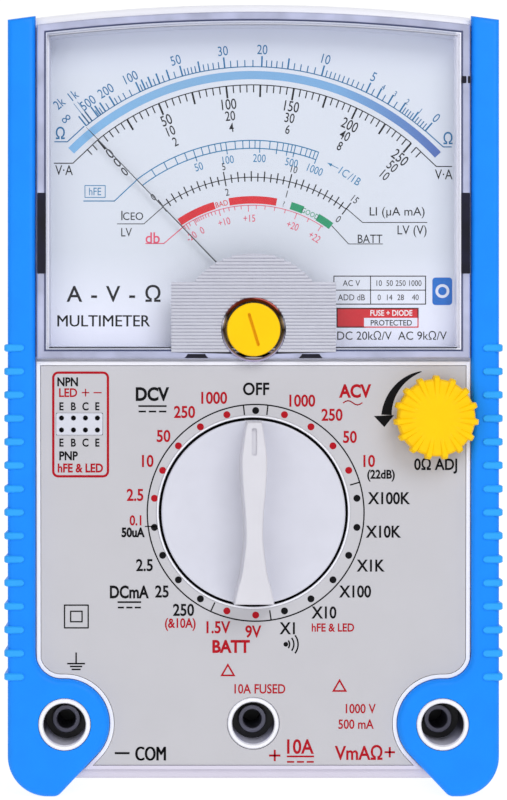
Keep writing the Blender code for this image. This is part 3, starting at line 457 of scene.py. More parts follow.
def finish(name, rgb, roughness, metallic=0.0, mottle=0.03, patch=5.0, grain=0.3, relief=0.01,
           coat=0.0, alpha=1.0, stops=None, axis=None, brushed=None, specular=0.5, glow=0.0):
    """A procedural finish.

    mottle is how far the colour varies over patches that are patch mm wide, and relief is the
    height in mm of a grain that is grain mm wide. stops are colours along an axis, (name, start,
    end), which tint the one colour. brushed stretches the grain along X, Y or Z, as on drawn metal.
    """
    material = bpy.data.materials.new(name)
    material.use_nodes = True
    tree = material.node_tree
    shader = tree.nodes["Principled BSDF"]
    shader.inputs["Metallic"].default_value = metallic
    shader.inputs["Coat Weight"].default_value = coat
    shader.inputs["Coat Roughness"].default_value = 0.1
    shader.inputs["Alpha"].default_value = alpha
    shader.inputs["Specular IOR Level"].default_value = specular
    shader.inputs["Emission Color"].default_value = (1.0, 1.0, 1.0, 1.0)
    shader.inputs["Emission Strength"].default_value = glow
    place = tree.nodes.new("ShaderNodeTexCoord").outputs["Object"]
    grain_place = place
    if brushed:
        stretch = tree.nodes.new("ShaderNodeMapping")
        stretch.inputs["Scale"].default_value = [0.05 if axis_name == brushed else 1.0 for axis_name in "XYZ"]
        tree.links.new(place, stretch.inputs["Vector"])
        grain_place = stretch.outputs["Vector"]
    cloud = noise(tree, place, patch * MM)
    colour = linear(*rgb)
    dark = [max(0.0, c * (1.0 - mottle)) for c in colour]
    light = [min(1.0, c * (1.0 + mottle)) for c in colour]
    shade = ramp(tree, cloud, [(0.3, dark), (0.7, light)])
    if stops:
        graded = ramp(tree, along_axis(tree, place, *axis), [(at, linear(*tint)) for at, tint in stops])
        blend = tree.nodes.new("ShaderNodeMixRGB")
        blend.blend_type = "MULTIPLY"
        blend.inputs["Fac"].default_value = 1.0
        tree.links.new(graded, blend.inputs["Color1"])
        tree.links.new(shade, blend.inputs["Color2"])
        shade = blend.outputs["Color"]
    tree.links.new(shade, shader.inputs["Base Color"])
    fine = noise(tree, grain_place, grain * MM, 3.0)
    gloss = tree.nodes.new("ShaderNodeMapRange")
    gloss.inputs["To Min"].default_value = max(0.02, roughness - 0.08)
    gloss.inputs["To Max"].default_value = roughness + 0.08
    tree.links.new(fine, gloss.inputs["Value"])
    tree.links.new(gloss.outputs["Result"], shader.inputs["Roughness"])
    bump = tree.nodes.new("ShaderNodeBump")
    bump.inputs["Strength"].default_value = 0.5
    bump.inputs["Distance"].default_value = relief * MM
    tree.links.new(fine, bump.inputs["Height"])
    tree.links.new(bump.outputs["Normal"], shader.inputs["Normal"])
    return material


def ink(name, rgb, mottle=0.06):
    """A flat, slightly uneven printing ink."""
    return finish(name, rgb, 0.5, mottle=mottle, patch=2.0, relief=0.001, specular=0.1)


CASE_WHITE = finish("case_white", (242, 242, 250), 0.35, mottle=0.015, relief=0.004)
# Painted shade: the shell's white darkens over the lowest 6 mm of the housing, where its lower edge turns
# away from the light.
SHELL_WHITE_PAINTED_SHADE = finish("shell_white_painted_shade", (255, 255, 255), 0.35, mottle=0.015, relief=0.004,
                     stops=[(0.0, (190, 185, 204)), (0.1, (212, 207, 224)), (0.6, (216, 211, 228)),
                            (1.0, (242, 242, 250))],
                     axis=("Z", CASE_LOW.z, CASE_LOW.z + 6.0 * MM))
KNOB_WHITE = finish("knob_white", (209, 210, 222), 0.42, mottle=0.02, relief=0.004)
HANDLE_WHITE = finish("handle_white", (212, 211, 219), 0.38, mottle=0.02, relief=0.004)
RUBBER = finish("grip_rubber", (14, 137, 248), 0.5, mottle=0.03, grain=0.25, relief=0.02, specular=0.2)
# Painted highlight: the ribs are a lighter copy of the grip rubber, for the light on their rounded tops.
RIB_RUBBER_PAINTED_HIGHLIGHT = finish("rib_rubber_painted_highlight", (38, 162, 246), 0.42, mottle=0.03, grain=0.25, relief=0.015, specular=0.3)
LABEL_GREY = finish("label_grey", (192, 191, 197), 0.5, mottle=0.012, patch=8.0, relief=0.003)
CLEAR = finish("clear_styrene", (235, 238, 250), 0.06, mottle=0.01, alpha=0.02, relief=0.001)
# Painted shade: the clear rim is drawn as an opaque lavender grey, the darker look its edge takes from
# refraction.
RIM_PAINTED_SHADE = finish("clear_rim_painted_shade", (176, 180, 208), 0.18, mottle=0.16, patch=6.0, coat=0.5)
# Painted highlight: the lens's inner edge line is grey, and bright where it runs up the right-hand side.
RIM_EDGE_PAINTED_HIGHLIGHT = finish("rim_edge_painted_highlight", (255, 255, 255), 0.3, mottle=0.02,
                  stops=[(0.0, (196, 200, 218)), (0.965, (196, 200, 218)), (0.969, (240, 240, 252)),
                         (1.0, (240, 240, 252))],
                  axis=("X", -LENS_HIGH.x, LENS_HIGH.x))
# Painted shadow: a dark line inside the lens rim, where the rim shades the dial behind it.
RIM_GROOVE_PAINTED_SHADOW = finish("rim_groove_painted_shadow", (62, 70, 108), 0.3, mottle=0.15, patch=9.0)
# Painted shade for the lens's clip slots.
RIM_DARK = finish("rim_dark", (14, 13, 34), 0.35, mottle=0.5, patch=3.0, coat=0.1, specular=0.3)
BAND_STYRENE = finish("band_styrene", (194, 195, 208), 0.22, mottle=0.02, coat=0.3)
# Painted reflection: from bottom to top the polished collar is lavender grey, dark, pale, dark and warm
# red-brown, for what it reflects.
COLLAR = finish("collar", (255, 255, 255), 0.12, metallic=0.6, mottle=0.1, patch=3.0,
                stops=[(0.0, (170, 160, 196)), (0.3, (150, 146, 170)), (0.5, (40, 34, 40)),
                       (0.62, (190, 186, 200)), (0.72, (30, 26, 30)), (0.85, (120, 38, 26)),
                       (1.0, (96, 26, 20))],
                axis=("Z", PIVOT[1] - COLLAR_RADIUS, PIVOT[1] + COLLAR_RADIUS))
# Painted shade on the dial's white paint: brightest at and below the pivot, darker from a quarter of the way
# up, where the lens rim shades the sunk dial.
DIAL_PAINT_AND_SHADE = finish("dial_paint_and_shade", (255, 255, 255), 0.55, mottle=0.008, patch=12.0, relief=0.002,
                    stops=[(0.0, (236, 239, 255)), (0.25, (211, 217, 229)), (0.8, (210, 216, 228)),
                           (1.0, (207, 213, 233))],
                    axis=("Z", PIVOT[1], LENS_HIGH.z))
YELLOW = finish("yellow_plastic", (252, 201, 2), 0.4, mottle=0.02, specular=0.15)
INK_BLACK = ink("ink_black", (12, 12, 16), mottle=0.2)
INK_RED = ink("ink_red", (172, 18, 32))
INK_DIAL_RED = ink("ink_dial_red", (212, 40, 48), mottle=0.05)
INK_PINK = ink("ink_pink", (220, 84, 112), mottle=0.05)
INK_BLUE = ink("ink_blue", (26, 108, 158), mottle=0.08)
INK_PALE_BLUE = ink("ink_pale_blue", (50, 126, 172))
INK_EMBLEM = ink("ink_emblem", (30, 110, 200))
INK_WHITE = ink("ink_white", (240, 236, 240), mottle=0.02)
INK_GREEN = ink("ink_green", (36, 148, 104))
# Painted reflection: the mirror band is a blue gradient that darkens towards its right-hand end.
MIRROR_PAINTED_REFLECTION = finish("mirror_painted_reflection", (255, 255, 255), 0.22, mottle=0.02, relief=0.001, coat=0.4,
                     stops=[(0.0, (124, 180, 228)), (0.3, (124, 172, 214)), (0.72, (118, 168, 216)),
                            (1.0, (72, 102, 176))],
                     axis=("X", -40.0 * MM, 40.0 * MM))
# Painted shade: black for the gap round the range knob, so that the gap reads dark.
GAP_SHADE_BLACK = finish("knob_gap_painted_shade", (6, 6, 8), 0.6, mottle=0.1, specular=0.1)
# Black plastic for the buzzer, the zero-ohm pot and the battery snap; the same black paints the shade in the
# jack pits and behind the socket's holes.
SHADE_BLACK = finish("black_plastic_and_hole_shade", (26, 26, 32), 0.42, mottle=0.12)
POINTER_PAINT = finish("pointer_paint", (36, 36, 44), 0.4, mottle=0.1, patch=2.0)
BORE_SHADE = finish("bore_shade", (255, 255, 255), 0.4, mottle=0.03,
                    stops=[(0.0, (225, 225, 242)), (0.14, (190, 190, 216)), (0.36, (52, 52, 68)),
                           (0.55, (6, 6, 10))],
                    axis=("Z", JACKS["com"][1] - JACK_BORE, JACKS["com"][1] + JACK_BORE))
STEEL = finish("steel", (176, 176, 180), 0.28, metallic=1.0, mottle=0.06, patch=2.0, brushed="Y")
DARK_STEEL = finish("dark_steel", (128, 128, 146), 0.5, metallic=0.5, mottle=0.08, patch=2.0)
BRASS = finish("brass", (205, 170, 105), 0.32, metallic=1.0, mottle=0.05, patch=2.0)
ALUMINIUM = finish("aluminium", (205, 205, 208), 0.4, metallic=1.0, mottle=0.04, brushed="X")
COPPER = finish("copper", (184, 108, 72), 0.35, metallic=1.0, mottle=0.08, grain=0.1, relief=0.03)
BOARD = finish("board_green", (34, 96, 62), 0.4, mottle=0.12, patch=3.0, coat=0.4)
SOCKET_WHITE = finish("socket_white", (208, 210, 222), 0.45, mottle=0.02)
PALE = finish("pale_plastic", (196, 196, 200), 0.45, mottle=0.03)
GLASS = finish("fuse_glass", (225, 232, 232), 0.05, mottle=0.01, alpha=0.35)
SWEEP_PAPER = finish("sweep_paper", (110, 110, 110), 0.9, mottle=0.005, patch=60.0, relief=0.0, glow=0.92)
CELL_WRAP = finish("cell_wrap", (255, 255, 255), 0.3, mottle=0.03, coat=0.4,
                   stops=[(0.0, (60, 62, 70)), (0.62, (60, 62, 70)), (0.66, (206, 120, 40)),
                          (0.97, (206, 120, 40)), (1.0, (180, 180, 184))],
                   axis=("Z", CELL_LOW.z, CELL_HIGH.z))
BLOCK_WRAP = finish("block_wrap", (255, 255, 255), 0.3, mottle=0.03, coat=0.4,
                    stops=[(0.0, (52, 54, 62)), (0.7, (52, 54, 62)), (0.72, (196, 110, 36)),
                           (0.95, (196, 110, 36)), (1.0, (170, 170, 176))],
                    axis=("Z", BLOCK_LOW.z, BLOCK_HIGH.z))


# ---------------------------------------------------------------- outlines


def case_outline(inset=0.0):
    """The housing's outline: rounded lower corners, straight sides and the arched top."""
    side = CASE_HIGH.x - inset
    bottom = CASE_LOW.z + inset
    corner = CASE_CORNER - inset
    right = arc((side - corner, bottom + corner), corner, -90.0, 0.0, 12)
    left = [(-x, z) for x, z in reversed(right)]
    return right + arched_top(side, CASE_HIGH.z - inset) + left


def grip_outline(side, grow=0.0):
    """The grip's outline; grow moves only its inner boundary, towards the middle of the meter."""
    inner = GRIP_INNER - grow
    lobe = LOBE_RADIUS + grow
    fillet = GRIP_FILLET - grow
    middle = JACKS["volt_ohm"]
    fillet_x = inner - fillet
    fillet_z = middle[1] + math.sqrt((lobe + fillet) ** 2 - (fillet_x - middle[0]) ** 2)
    lobe_top = math.degrees(math.atan2(fillet_z - middle[1], fillet_x - middle[0]))
    points = [(inner, GRIP_HIGH.z + grow)]
    points += arc((fillet_x, fillet_z), fillet, 0.0, lobe_top - 180.0, 12)
    points += arc(middle, lobe, lobe_top, 180.0 - LOBE_LOWER_ANGLE, 28)[1:]
    slant = math.radians(LOBE_LOWER_ANGLE)
    foot = FOOT_INNER - grow / math.cos(slant)
    toe_radius = (FOOT_TOE - foot) / math.tan((math.radians(90.0) + slant) / 2.0)
    points += arc((FOOT_TOE, toe_radius), toe_radius, 180.0 - LOBE_LOWER_ANGLE, 270.0, 8)
    points += arc((GRIP_HALF_WIDTH - FOOT_RADIUS, FOOT_RADIUS), FOOT_RADIUS, -90.0, 0.0, 24)
    points += [(GRIP_HALF_WIDTH, GRIP_HIGH.z - GRIP_TOP_DROP + grow)]
    if side > 0:
        return points
    return [(-x, z) for x, z in reversed(points)]


def label_outline():
    """The printed sheet: a rectangle whose lower corners are cut back round the grip lobes."""
    edge = [p for p in grip_outline(1, LABEL_CLEARANCE)
            if LABEL_LOW.z < p[1] < LOBE_LIMIT and p[0] < LABEL_HIGH.x]
    slant = math.tan(math.radians(90.0 + LOBE_LOWER_ANGLE))
    last = edge[-1]
    corner = (last[0] - (LABEL_LOW.z - last[1]) / slant, LABEL_LOW.z)
    right = [corner] + edge[::-1] + [(LABEL_HIGH.x, LABEL_HIGH.z)]
    left = [(-x, z) for x, z in reversed(right)]
    return right + left


def lens_outline():
    """The lens's outline: square lower corners and an arched top."""
    side = LENS_HIGH.x
    return [(-side, LENS_LOW.z), (side, LENS_LOW.z)] + arched_top(side, LENS_HIGH.z)


# ---------------------------------------------------------------- housing


def make_case_front():
    """The front shell, with a rounded edge all round and a raised ring round the range knob."""
    shell = plate(bmesh.new(), case_outline(), CASE_FRONT, CASE_SEAM, edge=CASE_EDGE)
    inside = CASE_FRONT + WALL
    hollow = plate(bmesh.new(), case_outline(WALL), inside, CASE_SEAM + OVERCUT)
    openings = bmesh.new()
    window = [(-WINDOW_HALF_WIDTH, WINDOW_SILL), (WINDOW_HALF_WIDTH, WINDOW_SILL)]
    window += arched_top(WINDOW_HALF_WIDTH, WINDOW_PEAK)
    outlines = [window, circle(KNOB_OPENING, SELECTOR, 96), circle(SHAFT_HOLE, OHM_KNOB, 32)]
    outlines += [circle(JACK_RADIUS + GAP, spot, 48) for spot in JACKS.values()]
    outlines += [box_outline(SOCKET_LOW, SOCKET_HIGH, GAP)]
    for outline in outlines:
        plate(openings, outline, CASE_FRONT - OVERCUT, inside + 0.5 * MM)
    shell = carve(shell, hollow, openings)
    foot = CASE_FRONT + 1.0 * MM
    shoulder = RING_FRONT + 0.2 * MM
    ring = [(KNOB_OPENING, foot), (KNOB_OPENING, shoulder), (KNOB_OPENING + 0.1 * MM, RING_FRONT),
            (RING_RADIUS - 0.13 * MM, RING_FRONT), (RING_RADIUS, shoulder), (RING_RADIUS, foot)]
    turned(shell, ring, SELECTOR, 128, ring=True)
    piece("case_front", shell, SHELL_WHITE_PAINTED_SHADE, "housing", "white_case", "front_case")


def make_case_rear():
    """The rear shell, with rounded back edges, the battery tub and the screw pillars."""
    shell = plate(bmesh.new(), case_outline(), REAR_LOW.y, REAR_HIGH.y, far_edge=CASE_EDGE)
    floor = GRIP_STEP - WALL
    hollow = plate(bmesh.new(), case_outline(WALL), REAR_LOW.y - OVERCUT, floor)
    far = REAR_HIGH.y + OVERCUT
    steps = bmesh.new()
    for side in (-1, 1):
        plate(steps, grip_outline(side, GAP), GRIP_STEP, far)
    tub = plate(bmesh.new(), rectangle(TUB_LOW, TUB_HIGH), TUB_FRONT, floor + 0.02 * MM)
    pockets = bmesh.new()
    for left, right in POCKET_SIDES:
        plate(pockets, rectangle((left, POCKET_BOTTOM), (right, POCKET_TOP)), POCKET_FRONT, far)
    seat = plate(bmesh.new(), box_outline(COVER_LOW, COVER_HIGH, GAP), COVER_LOW.y - GAP, far)
    holes = bmesh.new()
    for spot in SCREWS:
        plate(holes, circle(SCREW_RECESS, spot, 40), SCREW_SEAT, far)
    shell = carve(shell, hollow, steps, pockets.copy(), seat, holes)
    join(shell, carve(tub, pockets))
    for spot in SCREWS:
        pillar = [(SCREW_RECESS, SCREW_SEAT), (SCREW_RECESS, GRIP_STEP), (PILLAR_RADIUS, GRIP_STEP),
                  (PILLAR_RADIUS, PILLAR_FRONT), (PILLAR_BORE, PILLAR_FRONT), (PILLAR_BORE, SCREW_SEAT)]
        turned(shell, pillar, spot, 40, ring=True)
    piece("case_rear", shell, SHELL_WHITE_PAINTED_SHADE, "housing", "white_case", "rear_case")


def make_grip(side, label):
    """A rubber channel round the housing's edge, with rounded lips, and its separate ribs."""
    back = GRIP_HIGH.y
    body = plate(bmesh.new(), grip_outline(side), GRIP_FRONT, back, edge=GRIP_EDGE, far_edge=GRIP_EDGE)
    channel = plate(bmesh.new(), case_outline(-GAP), CASE_FRONT - GAP, GRIP_STEP + GAP)
    jack = JACKS["com" if side < 0 else "volt_ohm"]
    holes = plate(bmesh.new(), circle(JACK_RADIUS + 0.12 * MM, jack, 64), GRIP_FRONT - OVERCUT, 0.0)
    screw = centre(f"case_screw_upper_{label}")
    plate(holes, circle(SCREW_RECESS + GAP, screw, 40), SCREW_SEAT + 1.0 * MM, back + OVERCUT)
    grip = carve(body, channel, holes)
    piece(f"{label}_grip_rubber", grip, RUBBER, "housing", "blue_rubber", f"{label}_grip")
    # The ribs take the lighter copy of the rubber, a painted highlight.
    ribs = bmesh.new()
    for number in range(RIB_COUNT):
        add_rib(ribs, side, RIB_FIRST + number * RIB_PITCH)
    piece(f"{label}_grip_ribs", ribs, RIB_RUBBER_PAINTED_HIGHLIGHT, "housing", "blue_rubber")


def add_rib(bm, side, z):
    """A rib that starts with a rounded end on the grip's front and wraps round its outer edge."""
    near = GRIP_LOW.y
    back = GRIP_HIGH.y - 0.6 * MM
    outer = GRIP_HIGH.x
    root_x = GRIP_HALF_WIDTH - 0.7 * MM
    root_near = near + 1.2 * MM
    root_back = back - 1.0 * MM
    path = [(RIB_START + RIB_HALF * (1.0 - math.cos(t)), near, RIB_HALF * math.sin(t)) for t in
            spread(0.25, math.pi / 2.0, 5)]
    for depth, start in ((near + RIB_CORNER, -90.0), (back - RIB_CORNER, 0.0)):
        corner = arc((outer - RIB_CORNER, depth), RIB_CORNER, start, start + 90.0, 6)
        path += [(x, y, RIB_HALF) for x, y in corner]
    rings = []
    for x, y, half in path:
        inner_x = min(x, root_x)
        inner_y = min(max(y, root_near), root_back)
        if x < root_x:
            inner_y = root_near if y < 0.0 else root_back
        ring = []
        for share, rise in RIB_SECTION:
            spot_x = inner_x + (x - inner_x) * rise
            spot_y = inner_y + (y - inner_y) * rise
            ring.append(bm.verts.new((side * spot_x, spot_y, z + share * half)))
        rings.append(ring)
    for first, second in zip(rings, rings[1:]):
        band(bm, first, second)
    bm.faces.new(rings[0])
    bm.faces.new(rings[-1])


def make_label():
    """The printed sheet, and the white lip of the housing that frames it."""
    outline = label_outline()
    holes = [circle(RING_RADIUS + SEAM, SELECTOR, 128), circle(SHAFT_HOLE + 0.2 * MM, OHM_KNOB, 32),
             circle(JACK_RADIUS + 0.1 * MM, JACKS["ten_amp"], 64), box_outline(SOCKET_LOW, SOCKET_HIGH, SEAM)]
    sheet = prism(bmesh.new(), [outline] + holes, LABEL_FRONT, LABEL_HIGH.y)
    piece("printed_panel", sheet, LABEL_GREY, "housing", "grey_label", "panel_label")
    inner = inset_outline(outline, -0.12 * MM)
    outer = inset_outline(outline, -0.9 * MM)
    lip = prism(bmesh.new(), [outer, inner], LABEL_FRONT - 0.2 * MM, LABEL_HIGH.y)
    piece("panel_lip", lip, SHELL_WHITE_PAINTED_SHADE, "housing", "white_case")


def make_lens():
    """A clear plate in a thicker rim: its edge is a grey band of painted shade, with painted shadow and
    highlight lines inside.
    """
    outline = lens_outline()
    near = LENS_FRONT
    clear = plate(bmesh.new(), inset_outline(outline, 1.9 * MM), near + 0.15 * MM, near + BAND_THICK)
    piece("lens_window", clear, CLEAR, "housing", "clear_lens", "meter_lens")
    # The rim carries the painted shade of the clear edge.
    rim = [(0.0, CASE_FRONT - GAP), (0.0, near + 0.5 * MM), (0.1 * MM, near + 0.2 * MM), (0.35 * MM, near),
           (RIM_INSET - 0.15 * MM, near), (RIM_INSET, near + 0.2 * MM), (RIM_INSET, CASE_FRONT - GAP)]
    piece("lens_rim", loft(bmesh.new(), outline, rim, hollow=True), RIM_PAINTED_SHADE, "housing", "clear_lens")
    # A slightly sunk ring in the colour of the painted shadow.
    groove = section(RIM_INSET, GROOVE_INSET, near + 0.3 * MM, near + 0.8 * MM)
    piece("lens_groove_shadow", loft(bmesh.new(), outline, groove, hollow=True), RIM_GROOVE_PAINTED_SHADOW, "housing", "clear_lens")
    # The inner line, with its painted highlight on the right.
    wall = section(GROOVE_INSET, LINE_INSET, near + 0.2 * MM, LENS_HIGH.y)
    line = loft(bmesh.new(), outline, wall, hollow=True)
    seat = section(LINE_INSET + 0.3 * MM, LINE_INSET + 0.5 * MM, CASE_FRONT, DIAL_FRONT)
    loft(line, outline, seat, hollow=True)
    piece("lens_edge_line", line, RIM_EDGE_PAINTED_HIGHLIGHT, "housing", "clear_lens")


def make_lens_band():
    """The ridged cover over the pointer's hub, with a polished collar round the zero adjuster whose
    reflections are painted on.
    """
    rise = math.degrees(math.asin(BAND_SHOULDER / DOME_RADIUS))
    side = BAND_HALF_WIDTH
    outline = [(-side, BAND_BOTTOM), (side, BAND_BOTTOM), (side, BAND_SHOULDER)]
    outline += arc((0.0, 0.0), DOME_RADIUS, rise, 180.0 - rise, 40) + [(-side, BAND_SHOULDER)]
    placed = [(x + PIVOT[0], z + PIVOT[1]) for x, z in outline]
    near = LENS_FRONT
    back = near + BAND_THICK
    cover = prism(bmesh.new(), [placed, circle(COLLAR_RADIUS - 0.2 * MM, PIVOT)], near, back)
    z = BAND_BOTTOM + RIDGE_PITCH / 2.0
    while z < DOME_RADIUS - 0.2 * MM:
        outer = side if z < BAND_SHOULDER else math.sqrt(DOME_RADIUS ** 2 - z * z)
        inner = math.sqrt(COLLAR_RADIUS ** 2 - z * z) if abs(z) < COLLAR_RADIUS else 0.0
        for start, end in ((-outer, -inner), (inner, outer)) if inner else ((-outer, outer),):
            add_ridge(cover, PIVOT[0] + start, PIVOT[0] + end, PIVOT[1] + z, near)
        z += RIDGE_PITCH
    piece("lens_band", cover, BAND_STYRENE, "housing", "clear_lens")
    # The collar takes the finish with its painted reflection.
    throat = COLLAR_RADIUS - 0.9 * MM
    collar = [(COLLAR_RADIUS, near - 0.1 * MM), (COLLAR_RADIUS - 0.12 * MM, near - 0.42 * MM),
              (COLLAR_RADIUS - 0.35 * MM, near - 0.5 * MM), (throat + 0.2 * MM, near - 0.1 * MM),
              (throat, near + 0.9 * MM), (throat, back), (COLLAR_RADIUS, back)]
    piece("lens_collar", turned(bmesh.new(), collar, PIVOT, 96, ring=True), COLLAR, "housing", "clear_lens")


def add_ridge(bm, start, end, z, depth):
    """A half-round bar along X on the face at depth."""
    bar = arc((0.0, 0.0), RIDGE_PITCH * 0.46, 0.0, 180.0, 6)
    rings = [[bm.verts.new((x, depth - 0.9 * h, z + u)) for u, h in bar] for x in (start, end)]
    band(bm, rings[0], rings[1])
    bm.faces.new(rings[0])
    bm.faces.new(rings[1])


def make_lens_marks():
    """Dark sheets that paint the shade in the slots where the lens's clips reach through its edge, and two
    small marks at the right.
    """
    slots = bmesh.new()
    near = LENS_FRONT - PRINT_THICK
    far = LENS_FRONT + 0.3 * MM
    for side in (-1, 1):
        left, right = sorted((side * 44.0 * MM, side * 45.8 * MM))
        plate(slots, rounded_rectangle((left, 110.8 * MM), (right, 127.9 * MM), 0.2 * MM), near, far)
        foot = [(side * 14.6 * MM, 92.9 * MM), (side * 13.9 * MM, 93.8 * MM), (side * 10.3 * MM, 93.8 * MM),
                (side * 9.6 * MM, 92.9 * MM)]
        plate(slots, foot if side < 0 else foot[::-1], near, far)
    for left, right in ((44.0 * MM, 45.05 * MM), (45.35 * MM, 45.85 * MM)):
        plate(slots, rounded_rectangle((left, 151.1 * MM), (right, 152.6 * MM), 0.2 * MM), near, far)
    # The slots' painted shade.
    piece("lens_slots", slots, RIM_DARK, "housing", "black_parts")


# ---------------------------------------------------------------- moving pieces


def make_pointer():
    """A fine cranked needle with a knife edge, on a hub with a balance cross."""
    low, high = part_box("pointer")
    near = low.y
    far = high.y
    bend = Vector((-3.34 * MM, 9.96 * MM))
    tip = Vector((low.x - PIVOT[0] + 0.1 * MM, high.z - PIVOT[1] - 0.1 * MM))
    way = (tip - bend).normalized()
    across = Vector((-way.y, way.x))
    needle = bmesh.new()
    rings = []
    for share, half in ((-0.02, 0.15), (0.05, 0.15), (0.5, 0.12), (0.97, 0.1), (1.0, 0.04)):
        spot = Vector(PIVOT) + bend + (tip - bend) * share
        left = spot + across * half * MM
        right = spot - across * half * MM
        rings.append([bm_vert(needle, left, far), bm_vert(needle, right, far), bm_vert(needle, spot, near)])
    for first, second in zip(rings, rings[1:]):
        band(needle, first, second)
    needle.faces.new(rings[0])
    needle.faces.new(rings[-1])
    arm = bend.normalized()
    side = Vector((-arm.y, arm.x))
    hub = 1.7 * MM
    tail = 4.6 * MM
    cross = []
    for direction, reach in ((arm, bend.length), (side, tail), (-arm, tail), (-side, tail)):
        normal = Vector((-direction.y, direction.x)) * 0.3 * MM
        for length, sign in ((hub, -1), (reach, -1), (reach, 1), (hub, 1)):
            cross.append(tuple(Vector(PIVOT) + direction * length + normal * sign))
    prism(needle, [cross, circle(0.8 * MM, PIVOT, 24)], near, far)
    piece("pointer_needle", needle, POINTER_PAINT, "pointer_assembly", "black_parts", "pointer", smooth=20.0)


def bm_vert(bm, spot, depth):
    """A vertex at a front-view spot and a depth."""
    return bm.verts.new((spot[0], depth, spot[1]))


def make_zero_cap():
    """The slotted cap that sets the pointer's zero, with a narrow stem behind its head."""
    near = front("zero_adjust_cap")
    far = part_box("zero_adjust_cap")[1].y
    neck = near + 1.9 * MM
    radius = 5.65 * MM
    stem = 2.8 * MM
    profile = [(0.0, near + 0.02 * MM), (radius - 1.2 * MM, near)]
    profile += [(radius - inset, depth) for inset, depth in rounding(near, 0.45 * MM)]
    profile += [(radius, neck), (stem, neck), (stem, far), (0.0, far)]
    cap = turned(bmesh.new(), profile, PIVOT, 96)
    slot = rounded_rectangle((-0.32 * MM, -3.6 * MM), (0.32 * MM, 3.6 * MM), 0.3 * MM)
    slot = plate(bmesh.new(), slot, near - OVERCUT, near + 0.9 * MM)
    lean = Matrix.Rotation(math.radians(-17.0), 4, "Y")
    slot.transform(Matrix.Translation((PIVOT[0], 0.0, PIVOT[1])) @ lean)
    piece("zero_cap", carve(cap, slot), YELLOW, "zero_adjuster", "yellow_plastic", "zero_adjust_cap")


def handle_half_width(z):
    """The handle's half width in mm at a height in mm above the knob's centre, on a smooth curve."""
    points = (HANDLE[0],) + HANDLE + (HANDLE[-1],)
    for before, start, end, after in zip(points, points[1:], points[2:], points[3:]):
        if start[0] <= z <= end[0] and end[0] > start[0]:
            t = (z - start[0]) / (end[0] - start[0])
            span = end[0] - start[0]
            slope_start = span * (end[1] - before[1]) / (end[0] - before[0])
            slope_end = span * (after[1] - start[1]) / (after[0] - start[0])
            return ((2 * t ** 3 - 3 * t ** 2 + 1) * start[1] + (t ** 3 - 2 * t ** 2 + t) * slope_start
                    + (3 * t ** 2 - 2 * t ** 3) * end[1] + (t ** 3 - t ** 2) * slope_end)
    return HANDLE[0][1] if z < 0.0 else HANDLE[-1][1]


def on_knob(bm, x, depth, z):
    """A point placed in mm from the range knob's centre."""
    return bm.verts.new((SELECTOR[0] + x * MM, depth * MM, SELECTOR[1] + z * MM))


def handle_ring(bm, inset, depth):
    """The handle's outline drawn in by an inset, in mm, at a depth."""
    heights = spread(HANDLE[0][0] + inset, HANDLE[-1][0] - inset, 48)
    right = [(max(0.2, handle_half_width(z) - inset), z) for z in heights]
    outline = right + [(-x, z) for x, z in reversed(right)]
    return [on_knob(bm, x, depth, z) for x, z in outline]


def make_knob_disc():
    """The knob's disc: its face is scooped on both sides of the handle and rises again to the edge."""
    knob = bmesh.new()
    steps = 180
    flat_radius = KNOB_RADIUS - KNOB_EDGE
    stations = [(radius, 0.0) for radius in spread(0.4, flat_radius, 40)]
    stations += [(flat_radius + KNOB_EDGE * math.sin(t), KNOB_EDGE * (1.0 - math.cos(t)))
                 for t in spread(0.3, 1.57, 4)]
    rings = []
    for radius, drop in stations:
        ring = []
        for i in range(steps):
            turn = 2.0 * math.pi * i / steps
            x = radius * math.cos(turn)
            z = radius * math.sin(turn)
            clear = max(0.0, abs(x) - handle_half_width(z)) / (KNOB_RADIUS - 2.2)
            rise = 1.0 - (1.0 - min(1.0, clear) ** 1.6) * (1.0 - (radius / KNOB_RADIUS) ** 5)
            ring.append(on_knob(knob, x, KNOB_FACE - 0.1 - 1.5 * rise + drop, z))
        rings.append(ring)
    hub = on_knob(knob, 0.0, KNOB_FACE - 0.1, 0.0)
    band(knob, [hub] * steps, rings[0])
    back = KNOB_FACE + 1.6
    for radius, depth in ((KNOB_RADIUS, back), (4.0, back), (4.0, back + 0.8)):
        rings.append([knob.verts.new((x, depth * MM, z)) for x, z in circle(radius * MM, SELECTOR, steps)])
    for first, second in zip(rings, rings[1:]):
        band(knob, first, second)
    knob.faces.new(rings[-1])
    piece("range_knob_disc", knob, KNOB_WHITE, "range_selector", "white_case", "selector_knob")


def make_knob_handle():
    """The knob's waisted handle, with a sunk mark at its pointing end."""
    near = front("selector_knob") / MM
    profile = [(inset + 0.1, depth) for inset, depth in rounding(near, 0.5)]
    profile += [(0.05, near + 3.0), (-0.05, KNOB_FACE - 0.5), (-0.25, KNOB_FACE - 0.15),
                (-0.25, KNOB_FACE + 0.5)]
    handle = bmesh.new()
    rings = [handle_ring(handle, inset, depth) for inset, depth in profile]
    for first, second in zip(rings, rings[1:]):
        band(handle, first, second)
    handle.faces.new(rings[0])
    handle.faces.new(rings[-1])
    mark = rounded_rectangle((-0.55 * MM, 12.2 * MM), (0.55 * MM, 18.0 * MM), 0.5 * MM)
    mark = [(x + SELECTOR[0], z + SELECTOR[1]) for x, z in mark]
    handle = carve(handle, plate(bmesh.new(), mark, (near - 1.0) * MM, (near + 0.6) * MM))
    piece("range_knob_handle", handle, HANDLE_WHITE, "range_selector", "white_case", "selector_knob")


